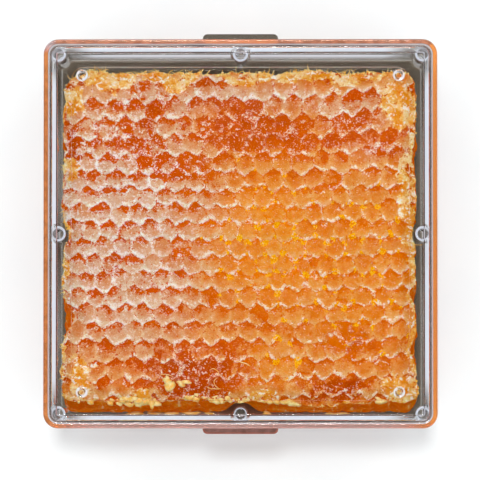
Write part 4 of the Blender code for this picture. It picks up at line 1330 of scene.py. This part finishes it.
def clear_plastic(name, clear_tint, painted_dark_tint, shade, roughness=0.02):
    n = Nodes(name)
    painted_dark, painted_highlight, painted_honey_reflection = n.attribute("painted_dark"), n.attribute("painted_highlight"), n.attribute("painted_honey_reflection")
    faint = n.noise(60, 2.0, 0.5)
    tint = n.mix(n.remap(faint, 0.3, 0.7), clear_tint, tuple(c * 0.985 for c in clear_tint))
    streak = n.remap(n.noise(420, 3.0, 0.65), 0.25, 0.7, 0.0, 1.0)
    # Painted dark: the plastic is darkened towards a dark tint, a little less where the honey reflection is streaked.
    uneven = n.math("MULTIPLY", painted_dark, n.math("SUBTRACT", 1.0, n.math("MULTIPLY", n.math("MULTIPLY", painted_honey_reflection, streak), 0.35)))
    dim = n.mix(uneven, (1.0, 1.0, 1.0), painted_dark_tint)
    through = n.mix(1.0, n.mix(1.0, tint, dim, "MULTIPLY"), (shade, shade, shade), "MULTIPLY")
    # Painted reflection of the honey: an orange tint painted into the plastic.
    tint = n.mix(painted_honey_reflection, tint, (1.0, 0.115, 0.002))
    tint = n.mix(1.0, tint, dim, "MULTIPLY")
    # Painted highlight: milky white, less clear plastic.
    tint = n.mix(painted_highlight, tint, (0.79, 0.845, 0.955))
    glass = n.add(
        "ShaderNodeBsdfPrincipled",
        {"Base Color": tint, "Roughness": roughness, "IOR": 1.5, "Transmission Weight": n.remap(painted_highlight, 0, 1, 1.0, 0.25)},
    )
    clear = n.add("ShaderNodeBsdfTransparent", {"Color": through})
    light = n.add("ShaderNodeLightPath")
    lamps = n.add("ShaderNodeMixShader", {0: light.outputs["Is Shadow Ray"], 1: glass.outputs[0], 2: clear.outputs[0]})
    # Light scattered from the comb and the floor passes straight as well, or it would be counted twice.
    mixed = n.add("ShaderNodeMixShader", {0: light.outputs["Is Diffuse Ray"], 1: lamps.outputs[0], 2: clear.outputs[0]})
    n.plug(n.output.inputs["Surface"], mixed.outputs[0])
    return n.material


def make_case():
    # The dark tints are painted dark: a deep one for the lid's tabs, rims and rings, a lighter one for the tray's
    # floor.
    lid = make_lid(clear_plastic("lid_plastic", (0.99, 0.992, 1.0), (0.17, 0.15, 0.12), 0.99))
    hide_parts("case_lid")
    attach(lid, "root")
    tray = make_tray(clear_plastic("tray_plastic", (0.98, 0.985, 0.99), (0.61, 0.56, 0.48), 0.75))
    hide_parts("case_base")
    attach(tray, "root")


# ---------------------------------------------------------------------------
# Studio
# ---------------------------------------------------------------------------
def make_studio():
    scene = bpy.context.scene
    scene.view_settings.view_transform = "Standard"
    scene.view_settings.look = "None"
    world = bpy.data.worlds.new("studio")
    scene.world = world
    world.use_nodes = True
    tree = world.node_tree
    background = tree.nodes["Background"]
    # A pale tent all round with a dark opening overhead, where the camera looks in.
    direction = tree.nodes.new("ShaderNodeTexCoord")
    dot = tree.nodes.new("ShaderNodeVectorMath")
    dot.operation = "DOT_PRODUCT"
    dot.inputs[1].default_value = (0.0, 0.0, 1.0)
    tree.links.new(direction.outputs["Generated"], dot.inputs[0])
    ramp = tree.nodes.new("ShaderNodeMapRange")
    ramp.interpolation_type = "SMOOTHSTEP"
    for k, number in enumerate((0.84, 0.94, 0.90, 0.0)):
        ramp.inputs[k + 1].default_value = number
    tree.links.new(dot.outputs["Value"], ramp.inputs[0])
    background.inputs[0].default_value = (1.0, 1.0, 1.0, 1.0)
    tree.links.new(ramp.outputs[0], background.inputs[1])

    bm = bmesh.new()
    bmesh.ops.create_grid(bm, x_segments=8, y_segments=8, size=3.0)
    mesh = bpy.data.meshes.new("floor")
    bm.to_mesh(mesh)
    bm.free()
    floor = bpy.data.objects.new("floor", mesh)
    scene.collection.objects.link(floor)
    floor.location.z = -0.0002
    n = Nodes("pale_floor")
    grain = n.noise(30, 3.0)
    tone = n.mix(n.remap(grain, 0.3, 0.7), (0.93, 0.965, 0.975), (0.95, 0.98, 0.985))
    shader = n.add("ShaderNodeBsdfPrincipled", {"Base Color": tone, "Roughness": 0.6})
    n.plug(n.output.inputs["Surface"], shader.outputs[0])
    mesh.materials.append(n.material)

    sun = bpy.data.lights.new("key", "SUN")
    sun.energy = 1.56
    sun.angle = math.radians(10)
    lamp = bpy.data.objects.new("key", sun)
    lamp.rotation_euler = (-Vector((-0.03, 0.199, 0.98))).to_track_quat("-Z", "Y").to_euler()
    scene.collection.objects.link(lamp)

    data = bpy.data.cameras.new("camera")
    data.sensor_width = 36.0
    data.clip_start = 0.05
    distance = 1.10
    data.lens = 18.0 / (0.5 * 480 / 3.6 * MM / distance)
    camera = bpy.data.objects.new("camera", data)
    aim = Vector((-0.0001, -0.0018, CASE_Z * MM))
    camera.location = (0.010, -0.035, CASE_Z * MM + distance)
    back = (camera.location - aim).normalized()
    right = Vector((0, 1, 0)).cross(back).normalized()
    camera.rotation_euler = Matrix((right, back.cross(right), back)).transposed().to_euler()
    scene.collection.objects.link(camera)
    scene.camera = camera


# The sides' colour is brightened by a tone: painted light standing in for light coming through the honey.
make_comb(comb_material(), comb_material("comb_side_honey_painted_glow", 0.0, (1.32, 0.98, 0.6)))
make_case()
make_studio()
